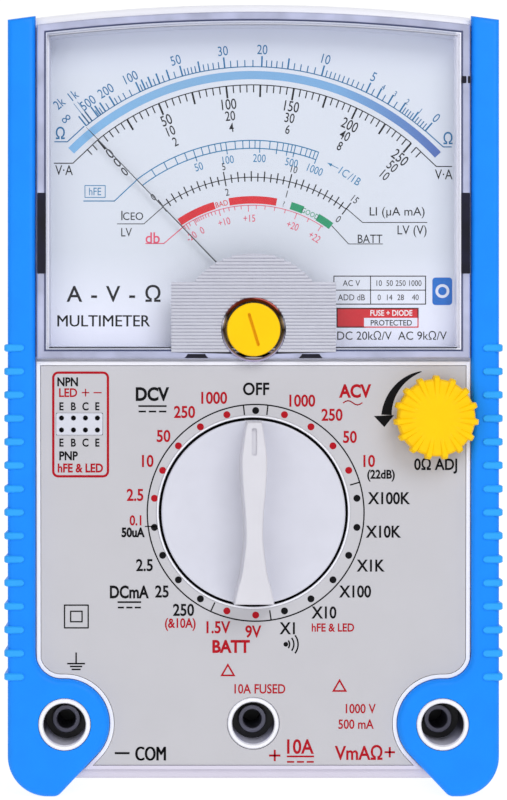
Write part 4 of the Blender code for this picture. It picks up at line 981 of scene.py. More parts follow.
def make_knob_well():
    """Painted shade in the gap round the range knob: a black floor, and a thin black wall at its outer edge.
    """
    inner = KNOB_OPENING - 0.06 * MM
    outer = KNOB_OPENING - 0.01 * MM
    lip = RING_FRONT + 0.1 * MM
    floor = [(17.0 * MM, -13.9 * MM), (inner, -13.9 * MM), (inner, lip), (outer, lip), (outer, -13.4 * MM),
             (17.0 * MM, -13.4 * MM)]
    well = turned(bmesh.new(), floor, SELECTOR, 96, ring=True)
    piece("knob_gap_shade", well, GAP_SHADE_BLACK, "housing", "black_parts")


def make_ohm_knob():
    """The zero-ohm knob: a disc whose fifteen ribs run over its face and down its edge.

    A station has the disc's radius, the ribs' reach past it, the depth behind the face and the
    ribs' rise over it, in mm. A rib is full up to 3.2 degrees off its middle and gone at 5.6.
    """
    near = front("zero_ohm_knob") / MM
    stations = ((1.5, 0.0, 0.35, 0.0), (4.3, 0.0, 0.35, 0.0), (4.8, 0.0, 0.36, 0.12), (5.6, 0.0, 0.38, 0.3),
                (7.1, 0.3, 0.45, 0.42), (7.7, 0.6, 0.6, 0.45), (8.0, 0.72, 0.95, 0.35),
                (8.15, 0.75, 1.5, 0.0), (8.2, 0.75, 3.9, 0.0), (6.0, 0.0, 3.9, 0.0), (6.0, 0.0, 5.6, 0.0),
                (3.3, 0.0, 5.6, 0.0))
    ribs = 15
    rib_steps = 30
    steps = ribs * rib_steps
    knob = bmesh.new()
    rings = []
    for base, rib_reach, sink, rib_rise in stations:
        ring = []
        for i in range(steps):
            turn = 360.0 * i / steps + 90.0
            off = abs((i + rib_steps // 2) % rib_steps - rib_steps // 2) * 360.0 / steps
            swell = 1.0 - min(1.0, max(0.0, (off - 3.2) / 2.4))
            swell = swell * swell * (3.0 - 2.0 * swell)
            x, z = arc(OHM_KNOB, (base + rib_reach * swell) * MM, turn, turn, 1)[0]
            ring.append(knob.verts.new((x, (near + sink - rib_rise * swell) * MM, z)))
        rings.append(ring)
    for first, second in zip(rings, rings[1:]):
        band(knob, first, second)
    knob.faces.new(rings[0])
    knob.faces.new(rings[-1])
    piece("ohm_knob", knob, YELLOW, "zero_ohm_adjuster", "yellow_plastic", "zero_ohm_knob")


# ---------------------------------------------------------------- jacks, socket and fasteners


def make_jack(name):
    """A jack: its white collar, painted shade in the collar's bore, its metal sleeve and a black pit that
    paints the shade at its floors.
    """
    spot = JACKS[name]
    near, back = [corner.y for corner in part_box(name + "_jack_shroud")]
    outer = JACK_RADIUS
    bore = JACK_BORE
    step = -1.5 * MM
    profile = [(bore, near + 0.3 * MM), (bore + 0.2 * MM, near), (outer - 0.25 * MM, near),
               (outer, near + 0.25 * MM), (outer, step), (4.0 * MM, step), (4.0 * MM, back), (1.1 * MM, back),
               (1.1 * MM, back - 1.3 * MM), (3.3 * MM, back - 1.3 * MM), (3.3 * MM, JACK_FLOOR),
               (bore, JACK_FLOOR)]
    collar = turned(bmesh.new(), profile, spot, 72, ring=True)
    piece(f"{name}_jack_collar", collar, CASE_WHITE, "housing", "white_case", f"{name}_jack_shroud")
    # Painted shade: a thin sheet inside the bore, pale at its bottom and dark towards its top, where the
    # collar shades it.
    bore_shading = section(bore - 0.08 * MM, bore, near + 0.5 * MM, JACK_FLOOR)
    bore_shading = turned(bmesh.new(), bore_shading, spot, 72, ring=True)
    piece(f"{name}_jack_lining", bore_shading, BORE_SHADE, "housing", "black_parts")
    mouth, end = [corner.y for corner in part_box(name + "_jack_contact")]
    shoulder = end - 4.4 * MM
    floor = end - 5.4 * MM
    sleeve = [(0.0, floor), (2.0 * MM, floor), (2.0 * MM, mouth + 0.15 * MM), (2.15 * MM, mouth),
              (2.85 * MM, mouth), (3.0 * MM, mouth + 0.2 * MM), (3.0 * MM, shoulder), (0.8 * MM, shoulder),
              (0.8 * MM, end), (0.0, end)]
    sleeve = turned(bmesh.new(), sleeve, spot, 48)
    piece(f"{name}_jack_sleeve", sleeve, DARK_STEEL, "housing", "steel", f"{name}_jack_contact")
    # Painted shade: a black ring at the floor of the bore and a black disc at the floor of the sleeve.
    washer = section(3.0 * MM, bore, JACK_FLOOR - 0.4 * MM, JACK_FLOOR - 0.05 * MM)
    pit = turned(bmesh.new(), washer, spot, 48, ring=True)
    turned(pit, section(0.0, 1.95 * MM, floor - 0.4 * MM, floor - 0.05 * MM), spot, 48)
    piece(f"{name}_jack_pit", pit, SHADE_BLACK, "housing", "black_parts")


def make_socket():
    """The transistor socket: two rows of four round holes, with a black floor behind them that paints their
    shade.
    """
    low = (SOCKET_LOW.x, SOCKET_LOW.z)
    high = (SOCKET_HIGH.x, SOCKET_HIGH.z)
    pitch = SOCKET_PITCH * MM
    holes = []
    for row in (-0.5, 0.5):
        for column in (-1.5, -0.5, 0.5, 1.5):
            holes.append(circle(0.55 * MM, (SOCKET[0] + column * pitch, SOCKET[1] + row * pitch), 20))
    near = SOCKET_LOW.y
    bottom = near + 4.0 * MM
    block = prism(bmesh.new(), [rounded_rectangle(low, high, 0.3 * MM)] + holes, near, bottom)
    piece("socket_block", block, SOCKET_WHITE, "housing", "pale_plastic", "transistor_socket")
    # Painted shade: the black floor behind the holes.
    floor = plate(bmesh.new(), rounded_rectangle(low, high, 0.5 * MM), bottom, SOCKET_HIGH.y)
    piece("socket_floor_shade", floor, SHADE_BLACK, "housing", "black_parts")


def make_screw(node, head_radius, body):
    """A cross-head screw whose head faces the back."""
    low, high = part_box(node)
    spot = centre(node)
    far = high.y
    head = head_radius
    profile = [(0.0, far), (head * 0.55, far), (head * 0.9, far - 0.25 * MM), (head, far - 0.6 * MM),
               (head, far - 1.2 * MM), (head * 0.5, far - 1.3 * MM), (head * 0.45, low.y + 1.0 * MM),
               (0.0, low.y)]
    screw = turned(bmesh.new(), profile, spot, 40)
    slots = []
    for half_x, half_z in ((0.5 * head, 0.11 * head), (0.11 * head, 0.5 * head)):
        corners = rectangle((spot[0] - half_x, spot[1] - half_z), (spot[0] + half_x, spot[1] + half_z))
        slots.append(plate(bmesh.new(), corners, far - 0.8 * MM, far + OVERCUT))
    piece(f"{node}_driven", carve(screw, *slots), STEEL, body, "steel", node)


def make_battery_cover():
    """The battery cover, with five finger grooves that shorten downwards and its screw's hole."""
    outline = rounded_rectangle((COVER_LOW.x, COVER_LOW.z), (COVER_HIGH.x, COVER_HIGH.z), 1.5 * MM)
    back = COVER_HIGH.y
    cover = plate(bmesh.new(), outline, COVER_LOW.y, back, far_edge=0.5 * MM)
    grooves = bmesh.new()
    for number in range(5):
        z = 60.6 * MM - 3.0 * MM * number
        half = (12.0 - 1.2 * number) * MM
        groove = rounded_rectangle((-half, z - 0.6 * MM), (half, z + 0.6 * MM), 0.55 * MM)
        plate(grooves, groove, back - 0.6 * MM, back + OVERCUT)
    spot = centre("cover_screw")
    seat = plate(bmesh.new(), circle(2.5 * MM, spot, 40), back - 1.3 * MM, back + OVERCUT)
    through = plate(bmesh.new(), circle(1.6 * MM, spot, 32), COVER_LOW.y - OVERCUT, back)
    panel = carve(cover, grooves, seat, through)
    piece("battery_door_panel", panel, CASE_WHITE, "battery_door", "white_case", "battery_cover")


# ---------------------------------------------------------------- prints


class Prints:
    """The marks printed in one colour on the face at a depth, placed in mm from an origin."""

    def __init__(self, name, material, origin, depth, slot):
        self.name = name
        self.material = material
        self.origin = origin
        self.depth = depth
        self.slot = slot
        self.bm = bmesh.new()

    def shape(self, outline, *holes):
        """A filled outline, less any holes."""
        outlines = [[(self.origin[0] + x * MM, self.origin[1] + z * MM) for x, z in points]
                    for points in (outline, *holes)]
        if holes:
            prism(self.bm, outlines, self.depth - PRINT_THICK, self.depth)
        else:
            plate(self.bm, outlines[0], self.depth - PRINT_THICK, self.depth)

    def line(self, start, end, width):
        """A straight line of a width."""
        start, end = Vector(start), Vector(end)
        across = (end - start).normalized().orthogonal() * width / 2.0
        self.shape([tuple(start - across), tuple(end - across), tuple(end + across), tuple(start + across)])

    def path(self, points, width):
        """A line through several points, with its corners filled."""
        for start, end in zip(points, points[1:]):
            reach = (Vector(end) - Vector(start)).normalized() * width * 0.3
            self.line(Vector(start) - reach, Vector(end) + reach, width)

    def tick(self, angle, inner, outer, width, spot=(0.0, 0.0)):
        """A radial tick, at an angle clockwise from the top."""
        way = Vector((math.sin(math.radians(angle)), math.cos(math.radians(angle))))
        self.line(Vector(spot) + way * inner, Vector(spot) + way * outer, width)

    def strip(self, outer, inner):
        """A closed shape between two rows of points."""
        rings = []
        for (a, b), (c, d) in zip(outer, inner):
            near = self.depth - PRINT_THICK
            corners = ((a, near, b), (c, near, d), (c, self.depth, d), (a, self.depth, b))
            rings.append([self.bm.verts.new((self.origin[0] + x * MM, y, self.origin[1] + z * MM))
                          for x, y, z in corners])
        for first, second in zip(rings, rings[1:]):
            band(self.bm, first, second)
        self.bm.faces.new(rings[0])
        self.bm.faces.new(rings[-1])

    def arc(self, radius, start, end, width, steps=80, spot=(0.0, 0.0)):
        """An arc line of a width, between angles clockwise from the top."""
        outer, inner = [arc(spot, radius + side * width / 2.0, 90.0 - start, 90.0 - end, steps)
                        for side in (1.0, -1.0)]
        self.strip(outer, inner)

    def dot(self, spot, radius):
        self.shape(circle(radius, spot, 24))

    def frame(self, low, high, radius, width):
        """The line of a rounded rectangle, of a width, inside its two corners."""
        inner = rounded_rectangle((low[0] + width, low[1] + width), (high[0] - width, high[1] - width),
                                  max(0.05, radius - width))
        self.shape(rounded_rectangle(low, high, radius), inner)

    def text(self, body, spot, height, squeeze=0.82, weight=0.0, lean=0.0, gap=1.0):
        """Centred text with capitals of a height; lean turns it clockwise, in degrees.

        weight thickens the strokes. The corners of an M would close, so it is printed twice.
        """
        if "M" in body and weight > 0.0:
            for shift in (-1.5, 1.5):
                beside = (spot[0] + shift * weight * height, spot[1])
                self.text(body, beside, height, squeeze, 0.0, lean, gap)
            return
        data = bpy.data.curves.new("print", "FONT")
        data.body = body
        data.extrude = 0.5  # one thick, which PRINT_THICK then scales
        data.offset = weight
        data.resolution_u = 4
        data.space_character = gap
        scale = height * MM / CAP_HEIGHT

        def place(mesh):
            xs = [v.co.x for v in mesh.vertices]
            ys = [v.co.y for v in mesh.vertices]
            middle = Matrix.Translation((-(min(xs) + max(xs)) / 2.0, -(min(ys) + max(ys)) / 2.0, 0.0))
            size = Matrix.Diagonal((scale * squeeze, scale, PRINT_THICK, 1.0))
            turn = Matrix.Rotation(-math.radians(lean), 4, "Z")
            spot_place = Matrix.Translation((self.origin[0] + spot[0] * MM, self.depth - PRINT_THICK / 2.0,
                                             self.origin[1] + spot[1] * MM))
            return spot_place @ TO_FRONT_VIEW @ turn @ size @ middle

        add_mesh_of(self.bm, data, place)

    def polar_text(self, body, angle, radius, height, **style):
        """Text that stands on a circle round the origin, at an angle clockwise from the top."""
        turn = math.radians(angle)
        self.text(body, (radius * math.sin(turn), radius * math.cos(turn)), height, lean=angle, **style)

    def done(self):
        """Makes one piece of all the marks."""
        piece(self.name, self.bm, self.material, "housing", self.slot, smooth=10.0)


def print_range_marks(black, red):
    """The ranges round the knob, in mm from its centre, with their dots and the rings they sit in."""
    black.arc(RANGE_CIRCLE, -180.0, 180.0, 0.28, 180, PRINT_SHIFT)
    for position in range(POSITIONS):
        turn = math.radians(position * 360.0 / POSITIONS)
        spot = (PRINT_SHIFT[0] + DOT_CIRCLE * math.sin(turn), PRINT_SHIFT[1] + DOT_CIRCLE * math.cos(turn))
        (red if position in RED_POSITIONS else black).dot(spot, DOT_RADIUS)
    for angle in (-6.5, 6.5, 73.6, 171.8, 204.5):
        black.tick(angle, 20.9, RANGE_CIRCLE - 0.05, 0.28, PRINT_SHIFT)
    black.line((-RANGE_CIRCLE, -3.05), (-20.7, -3.05), 0.22)
    marks = ((red, (("1000", -8.3, 24.25), ("250", -14.6, 21.25), ("50", -19.05, 16.15), ("10", -22.4, 10.85),
                    ("2.5", -25.1, 3.65), ("1.5V", -7.4, -24.45), ("9V", 0.0, -25.35), ("10", 24.6, 10.85),
                    ("50", 20.5, 15.95), ("250", 16.7, 20.65), ("1000", 10.4, 23.65))),
             (black, (("2.5", -23.1, -11.25), ("25", -19.4, -16.85), ("250", -14.8, -20.75),
                      ("X1", 7.2, -24.65), ("X10", 15.0, -21.3), ("X100", 21.6, -16.85),
                      ("X1K", 24.9, -11.35), ("X10K", 27.6, -4.15), ("X100K", 28.8, 2.95))))
    for ink, numbers in marks:
        for body, x, z in numbers:
            ink.text(body, (x, z), 2.4, squeeze=0.86, weight=0.022)
    red.text("0.1", (-25.0, -1.75), 2.0, weight=0.025)
    black.text("50uA", (-25.5, -4.3), 1.85, weight=0.04)


def dashes(ink, x, z, half, width=0.36):
    """The sign for direct current: a rule over a row of three dashes."""
    ink.line((x - half, z), (x + half, z), width)
    for step in (-1, 0, 1):
        middle = x + step * half * 0.72
        ink.line((middle - half * 0.26, z - 1.15), (middle + half * 0.26, z - 1.15), width)


def print_headings(black, red):
    """The names of the groups of ranges, with the signs beside them."""
    black.text("DCV", (-21.4, 25.05), 2.65, squeeze=0.88, weight=0.035)
    dashes(black, -21.4, 22.5, 3.0)
    black.text("OFF", (0.6, 26.15), 2.5, squeeze=0.88, weight=0.022)
    red.text("ACV", (21.6, 25.7), 2.6, squeeze=0.86, weight=0.035)
    wave = [(0.5 * x, 0.45 * math.sin(math.pi * x / 4.0)) for x in range(-4, 5)]
    red.path([(21.1 + x, 23.2 - z) for x, z in wave], 0.25)
    black.text("DCmA", (-26.3, -16.95), 2.5, squeeze=0.78, weight=0.03)
    dashes(black, -26.3, -19.1, 2.5)
    red.text("(&10A)", (-15.5, -23.85), 1.9, weight=0.022)
    red.text("BATT", (-4.7, -28.5), 2.5, squeeze=0.9, weight=0.035)
    red.text("hFE & LED", (16.9, -24.5), 1.65, squeeze=0.86, weight=0.02)
    black.text("(22dB)", (27.1, 7.75), 1.75, squeeze=0.86, weight=0.03)
    black.text("0Ω ADJ", (38.7, 9.85), 2.3, squeeze=0.86, weight=0.022)
    black.dot((6.9, -28.05), 0.5)
    for radius in (1.3, 2.2, 3.1):
        black.arc(radius, 52.0, 128.0, 0.32, 12, (6.4, -28.05))


def print_jack_marks(black, red):
    """The names beside the jacks and plain symbols, in mm from the range knob's centre."""
    black.text("COM", (-21.8, -51.25), 2.9, squeeze=0.68, weight=0.026)
    black.line((-29.4, -51.15), (-26.25, -51.15), 0.45)
    red.text("10A", (10.0, -49.75), 2.9, squeeze=0.88, weight=0.02)
    dashes(red, 10.0, -51.85, 2.9)
    red.text("VmAΩ", (22.35, -51.0), 2.8, squeeze=0.88, weight=0.02)
    for x, z, reach in ((4.55, -51.65, 1.2), (28.95, -50.95, 1.1)):
        red.line((x - reach, z), (x + reach, z), 0.42)
        red.line((x, z - reach), (x, z + reach), 0.42)
    for low, high in (((-40.2, -24.7), (-34.9, -19.6)), ((-38.9, -23.4), (-36.2, -20.9))):
        black.frame(low, high, 0.1, 0.28)
    black.line((-37.6, -29.8), (-37.6, -32.15), 0.32)
    for half, z in ((1.9, -32.15), (1.3, -32.75), (0.95, -33.38)):
        black.line((-37.6 - half, z), (-37.6 + half, z), 0.32)
    for x, z in ((-5.4, -33.9), (18.3, -37.2)):
        outer, inner = [[(x + reach * math.cos(math.radians(turn)), z + reach * math.sin(math.radians(turn)))
                         for turn in (90.0, 210.0, 330.0)] for reach in (1.85, 1.15)]
        red.shape(outer, inner)
    for body, x, z in (("10A FUSED", 1.4, -37.5), ("1000 V", 22.8, -41.7), ("500 mA", 21.8, -45.0)):
        red.text(body, (x, z), 1.9, squeeze=0.84, weight=0.015)


def print_ohm_arrow(black):
    """The curved arrow beside the zero-ohm knob, widening towards its head."""
    middle = (OHM_KNOB[0] / MM - SELECTOR[0] / MM, (OHM_KNOB[1] - SELECTOR[1]) / MM)

    def place(angle, radius):
        turn = math.radians(angle)
        return (middle[0] + radius * math.cos(turn), middle[1] + radius * math.sin(turn))

    outer = []
    inner = []
    for share in spread(0.0, 1.0, 24):
        angle = 105.5 + share * 71.5
        half = 0.08 + 1.07 * share ** 0.8
        outer.append(place(angle, 10.1 + half))
        inner.append(place(angle, 10.1 - half + 0.1 * share))
    head = [place(angle, radius) for angle, radius in ((178.7, 12.8), (191.0, 10.8), (176.7, 8.55))]
    black.strip(outer, inner)
    black.shape(head)


def print_socket_block(black, red):
    """The frame round the transistor socket, and the names of its rows and holes."""
    x = (SOCKET[0] - SELECTOR[0]) / MM
    base = SELECTOR[1] / MM
    led = 85.6 - base
    red.frame((-42.7, 67.6 - base), (-30.6, 90.1 - base), 1.3, 0.5)
    black.text("NPN", (-39.4, 87.9 - base), 1.75, squeeze=0.86, weight=0.03)
    red.text("LED", (-39.3, led), 1.75, squeeze=0.9, weight=0.02)
    for start, end in (((-36.4, led), (-34.8, led)), ((-35.6, led - 0.8), (-35.6, led + 0.8)),
                       ((-33.9, led), (-32.2, led))):
        red.line(start, end, 0.24)
    for z in (82.7, 75.0):
        for column, letter in enumerate("EBCE"):
            spot = (x + (column - 1.5) * SOCKET_PITCH, z - base)
            black.text(letter, spot, 1.6, squeeze=0.84, weight=0.025)
    black.text("PNP", (-39.2, 72.2 - base), 1.75, squeeze=0.86, weight=0.03)
    red.text("hFE & LED", (x + 0.2, 69.6 - base), 1.75, squeeze=0.86, weight=0.03)


def make_panel_prints():
    """The panel's black and red prints, in mm from the range knob's centre."""
    black = Prints("panel_print_black", INK_BLACK, SELECTOR, LABEL_FRONT, "black_parts")
    red = Prints("panel_print_red", INK_RED, SELECTOR, LABEL_FRONT, "grey_label")
    print_range_marks(black, red)
    print_headings(black, red)
    print_jack_marks(black, red)
    print_ohm_arrow(black)
    print_socket_block(black, red)
    black.done()
    red.done()


def swing(share, start=-39.1, span=79.4, bow=1.25):
    """The pointer's angle at a share of full scale; the scale opens out slightly near its start."""
    return start + span * share + bow * math.sin(math.pi * share)


def ohm_angle(ohms):
    """The pointer's angle at a resistance; it is half way where the scale reads 20."""
    return swing(20.0 / (20.0 + ohms), span=80.0, bow=1.1)


def print_ohm_scale(blue):
    """The resistance scale: ticks by spans of (start, end, step, bold step), then its numbers."""
    blue.arc(OHM_RADIUS, swing(0.0), ohm_angle(0.0), 0.2)
    spans = ((0.0, 2.0, 0.2, 1.0), (2.0, 5.0, 0.5, 1.0), (5.0, 10.0, 0.5, 5.0), (10.0, 20.0, 1.0, 5.0),
             (20.0, 50.0, 2.0, 10.0), (50.0, 100.0, 5.0, 10.0), (100.0, 200.0, 20.0, 100.0),
             (200.0, 500.0, 50.0, 100.0))
    for start, end, step, major in spans:
        for number in range(int(round((end - start) / step))):
            ohms = start + number * step
            bold = abs(ohms / major - round(ohms / major)) < 1e-6
            reach, width = (2.3, 0.34) if bold else (1.45, 0.22)
            blue.tick(ohm_angle(ohms), OHM_RADIUS, OHM_RADIUS + reach, width)
    for ohms in (500.0, 1000.0, 2000.0, 1e9):
        blue.tick(ohm_angle(ohms), OHM_RADIUS, OHM_RADIUS + 2.6, 0.3)
    for ohms, reach in ((1000.0, 5.2), (2000.0, 5.4)):
        blue.tick(ohm_angle(ohms), OHM_RADIUS, OHM_RADIUS + reach, 0.12)
    for ohms in (500, 200, 100, 50, 30, 20, 10, 5, 0):
        nudge = 0.5 if ohms in (50, 100) else 0.0
        blue.polar_text(str(ohms), ohm_angle(ohms) - nudge, 60.2, 2.0, squeeze=0.8)
    for ohms in (4, 3, 2, 1):
        blue.polar_text(str(ohms), ohm_angle(ohms) + 0.2, 59.2, 1.2)
    blue.polar_text("2k", -40.4, 63.9, 2.0, squeeze=0.78)
    blue.polar_text("1k", -37.3, 63.4, 2.0, squeeze=0.78)
    blue.polar_text("∞", -41.4, 60.4, 2.0)
    for x, z in ((-41.2, 42.3), (41.9, 41.2)):
        blue.text("Ω", (x, z), 2.4, weight=0.01)
    blue.path([(-42.4, 40.4), (-39.7, 40.4), (-36.1, 43.7)], 0.22)
    blue.path([(37.1, 42.7), (40.9, 39.3), (42.6, 39.3)], 0.22)


def print_volt_scale(black):
    """The scale for volts and amperes: fifty divisions over three rows of numbers."""
    black.arc(VOLT_RADIUS, swing(0.0), swing(1.0), 0.2)
    for division in range(-2, 53):
        bold = division % 5 == 0 and 0 <= division <= 50
        reach, width = (2.6, 0.4) if bold else (1.6, 0.24)
        black.tick(swing(division / 50.0), VOLT_RADIUS - reach, VOLT_RADIUS, width)
    rows = ((48.7, 2.2, (0, 50, 100, 150, 200, 250)), (46.2, 2.0, (0, 10, 20, 30, 40, 50)),
            (43.7, 1.9, (0, 2, 4, 6, 8, 10)))
    for radius, height, numbers in rows:
        for fifth, number in enumerate(numbers):
            angle = swing(fifth / 5.0) + 0.2
            black.polar_text(str(number), angle, radius, height, squeeze=0.76, weight=0.004)
    for x, z in ((-40.4, 34.3), (41.0, 33.4)):
        black.text("V·A", (x, z), 2.1, squeeze=0.8)
    black.path([(-42.5, 35.8), (-38.5, 35.8), (-33.1, 40.9)], 0.2)
    black.path([(35.1, 39.2), (39.4, 35.1), (42.7, 35.1)], 0.2)


def print_gain_scale(blue):
    """The transistor gain scale: two lines with ticks between them, longer at the numbers."""
    def gain_angle(gain):
        """The angle of a gain: the scale crowds together, less so above 500."""
        return -37.2 + 61.6 * gain / (gain + 112.0) + 2.2 * max(0.0, gain / 500.0 - 1.0)

    end = gain_angle(1000.0)
    for radius in (GAIN_OUTER, GAIN_INNER):
        blue.arc(radius, gain_angle(0.0), end, 0.22)
    gains = [10.0 * n for n in range(1, 10)] + [100.0 + 20.0 * n for n in range(5)]
    gains += [200.0 + 50.0 * n for n in range(6)] + [500.0 + 100.0 * n for n in range(6)]
    for gain in gains:
        reach = 0.9 if gain in (50.0, 100.0, 200.0, 300.0, 400.0, 500.0, 1000.0) else 0.0
        blue.tick(gain_angle(gain), GAIN_INNER - reach, GAIN_OUTER, 0.2)
    for gain in (50, 100, 200, 500, 1000):
        nudge = 0.9 if gain == 1000 else 0.0
        blue.polar_text(str(gain), gain_angle(gain) + nudge, 36.9, 1.65, squeeze=0.78)
    blue.frame((-36.0, 28.4), (-31.5, 31.1), 0.1, 0.16)
    blue.text("hFE", (-33.75, 29.75), 1.6, squeeze=0.8)
    blue.path([(-36.2, 27.7), (-29.6, 27.7), (-24.6, 32.4)], 0.22)
    blue.text("IC/IB", (20.9, 33.0), 1.7, lean=34.0, gap=1.25)
    blue.line((18.4, 34.7), (16.8, 35.5), 0.14)
    blue.shape([(16.0, 35.9), (16.8, 35.1), (17.1, 35.7)])


def print_current_scale(black):
    """The leakage current and load scale, in half units from 0 to 15."""
    def current_angle(units):
        return swing(units / 15.0, -35.9, 73.6, 1.1)

    black.arc(CURRENT_RADIUS, current_angle(0), current_angle(15), 0.18)
    for half_units in range(31):
        whole = half_units % 2 == 0
        major = half_units % 10 == 0
        above = 1.7 if major else 1.3 if whole else 0.9
        below = 1.4 if major else 0.9
        black.tick(current_angle(half_units / 2.0), CURRENT_RADIUS - below, CURRENT_RADIUS + above, 0.25)
    for units in (0, 5, 10, 15):
        black.polar_text(str(units), current_angle(units) + (0.4 if units else -0.8), 35.6, 1.5, squeeze=0.8)
    for units, number in ((5, "2"), (10, "1"), (15, "0")):
        black.polar_text(number, current_angle(units), 30.1, 1.5, squeeze=0.8)
    black.text("I", (-28.0, 24.6), 2.0, squeeze=0.85)
    black.text("CEO", (-25.6, 24.45), 1.6, squeeze=0.95)
    black.path([(-29.0, 22.8), (-23.3, 22.8), (-19.1, 26.5)], 0.16)
    black.text("LV", (-27.0, 21.0), 1.8, squeeze=0.85)
    black.text("LI (µA mA)", (31.0, 25.2), 1.8, squeeze=1.0)
    black.path([(20.0, 26.2), (23.6, 23.1), (37.4, 23.1)], 0.16)
    black.text("LV (V)", (34.2, 21.2), 1.9, squeeze=0.9)
    black.text("BATT", (25.2, 19.6), 1.8, squeeze=0.85)
    black.path([(17.0, 22.4), (20.6, 18.5), (27.9, 18.5)], 0.16)


def print_battery_bands(red, green, black):
    """The battery test's bands: red where the battery is bad and green where it is good."""
    for start, end in ((-34.0, -16.9), (-10.3, 10.6)):
        red.arc(CHARGE_RADIUS, start, end, 1.6, 24)
    for start, end in ((17.0, 22.8), (29.8, 37.0)):
        green.arc(CHARGE_RADIUS, start, end, 1.6, 12)
    red.polar_text("BAD", -13.7, 27.9, 1.15, squeeze=0.85)
    black.polar_text("?", 13.9, 27.9, 1.1)
    green.polar_text("GOOD", 26.3, 27.9, 1.1, squeeze=0.8)


def print_decibel_scale(pink):
    """The decibel scale, whose marks crowd towards its low end."""
    def decibel_angle(decibels):
        return swing(0.775 * 10.0 ** ((decibels - 20.0) / 20.0), -33.9, 68.8, 2.0)

    pink.arc(DECIBEL_RADIUS, -34.0, decibel_angle(22.0) + 1.0, 0.15, 60)
    for decibels in [-20, -10, -5] + list(range(23)):
        major = decibels in (-10, 0, 10, 15, 20, 22)
        pink.tick(decibel_angle(decibels), DECIBEL_RADIUS - (1.35 if major else 0.8), DECIBEL_RADIUS, 0.16)
    for decibels, body in ((-20, "-20"), (0, "0"), (10, "+10"), (15, "+15"), (20, "+20"), (22, "+22")):
        nudge = {0: 1.3, 10: 1.0}.get(decibels, 0.3)
        pink.polar_text(body, decibel_angle(decibels) + nudge, 24.0, 1.5, squeeze=0.78)
    pink.text("db", (-21.4, 19.8), 2.3, squeeze=0.95, weight=0.01)
    pink.path([(-22.9, 18.6), (-19.0, 18.6), (-14.8, 22.2)], 0.2)


def print_plate_notes(black, red, blue, white):
    """Neutral marks in place of the maker's: the quantities measured, a small table and a note."""
    black.text("A - V - Ω", (-29.8, 7.9), 3.3, squeeze=1.0, gap=1.1, weight=0.01)
    black.text("MULTIMETER", (-31.9, 2.0), 2.4, squeeze=0.98, weight=0.01)
    low, high, middle, column_line = (17.35, 5.5), (37.2, 11.7), 8.6, 25.3
    black.frame(low, high, 0.05, 0.2)
    black.line((column_line, low[1]), (column_line, high[1]), 0.18)
    black.line((low[0], middle), (high[0], middle), 0.18)
    table = (("AC V", 10.1, ("10", "50", "250", "1000")), ("ADD dB", 7.05, ("0", "14", "28", "40")))
    for heading, z, numbers in table:
        black.text(heading, (21.2, z), 1.25, squeeze=0.9)
        for x, number in zip((27.15, 29.4, 31.75, 34.9), numbers):
            black.text(number, (x, z), 1.2, squeeze=0.85)
    left, bottom, right, top = 18.0, 0.55, 35.6, 4.8
    corner = (23.9, 2.65)
    red.frame((left, bottom), (right, top), 0.1, 0.25)
    red.shape(rectangle((left, bottom), (corner[0], top)))
    red.shape(rectangle(corner, (right, top)))
    white.text("FUSE + DIODE", (29.75, 3.7), 1.15, squeeze=0.85, weight=0.02)
    black.text("PROTECTED", (29.75, 1.6), 1.15, squeeze=0.95, weight=0.01)
    seal = (40.7, 8.4)
    blue.shape(rounded_rectangle((38.55, 5.4), (42.8, 11.3), 0.7), circle(1.5, seal, 24))
    blue.shape(circle(0.9, seal, 24))
    black.text("DC 20kΩ/V  AC 9kΩ/V", (29.9, -1.1), 1.75, squeeze=0.95)


def make_dial_prints():
    """The dial's scales, each in its own ink, in mm from the pointer's pivot."""
    finishes = {"black": INK_BLACK, "blue": INK_BLUE, "pale_blue": INK_PALE_BLUE, "red": INK_DIAL_RED,
                "pink": INK_PINK, "green": INK_GREEN, "mirror": MIRROR_PAINTED_REFLECTION, "emblem": INK_EMBLEM}
    inks = {name: Prints(f"dial_print_{name}", material, PIVOT, DIAL_FRONT, "dial_white")
            for name, material in finishes.items()}
    print_ohm_scale(inks["blue"])
    # The mirror band, with its painted reflection.
    inks["mirror"].arc(MIRROR_RADIUS, -45.3, 46.6, 1.75, 120)
    print_volt_scale(inks["black"])
    print_gain_scale(inks["pale_blue"])
    print_current_scale(inks["black"])
    print_battery_bands(inks["red"], inks["green"], inks["black"])
    print_decibel_scale(inks["pink"])
    white = Prints("dial_print_white", INK_WHITE, PIVOT, DIAL_FRONT - PRINT_THICK, "dial_white")
    print_plate_notes(inks["black"], inks["red"], inks["emblem"], white)
    for prints in (*inks.values(), white):
        prints.done()


# ---------------------------------------------------------------- carried-over nodes


def repaint():
    """Procedural finishes for the CAD nodes that are shown as they are."""
    groups = {
        DIAL_PAINT_AND_SHADE: ("dial_plate",),
        ALUMINIUM: ("movement_frame",),
        BRASS: ("front_bridge", "front_jewel_screw", "rear_jewel_screw", "front_hairspring",
                "rear_hairspring", "core_holder", "fuse_clip_left", "fuse_clip_right", "switch_wiper",
                "tail_weight", "side_weight", "zero_lever"),
        STEEL: ("core_magnet", "yoke_ring", "battery_spring_left", "battery_spring_right",
                "battery_plate_left", "battery_plate_right", "detent_ball", "detent_spring",
                "zero_ohm_shaft", "front_pivot", "rear_pivot"),
        COPPER: ("moving_coil",),
        BOARD: ("circuit_board",),
        GLASS: ("fuse",),
        PALE: ("switch_rotor",),
        SHADE_BLACK: ("buzzer", "zero_ohm_pot", "nine_volt_snap"),
        CELL_WRAP: ("aa_battery_left", "aa_battery_right"),
        BLOCK_WRAP: ("nine_volt_battery",),
    }
    for material, names in groups.items():
        for name in names:
            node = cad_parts[name]
            node.data.materials.clear()
            node.data.materials.append(material)


# ---------------------------------------------------------------- studio


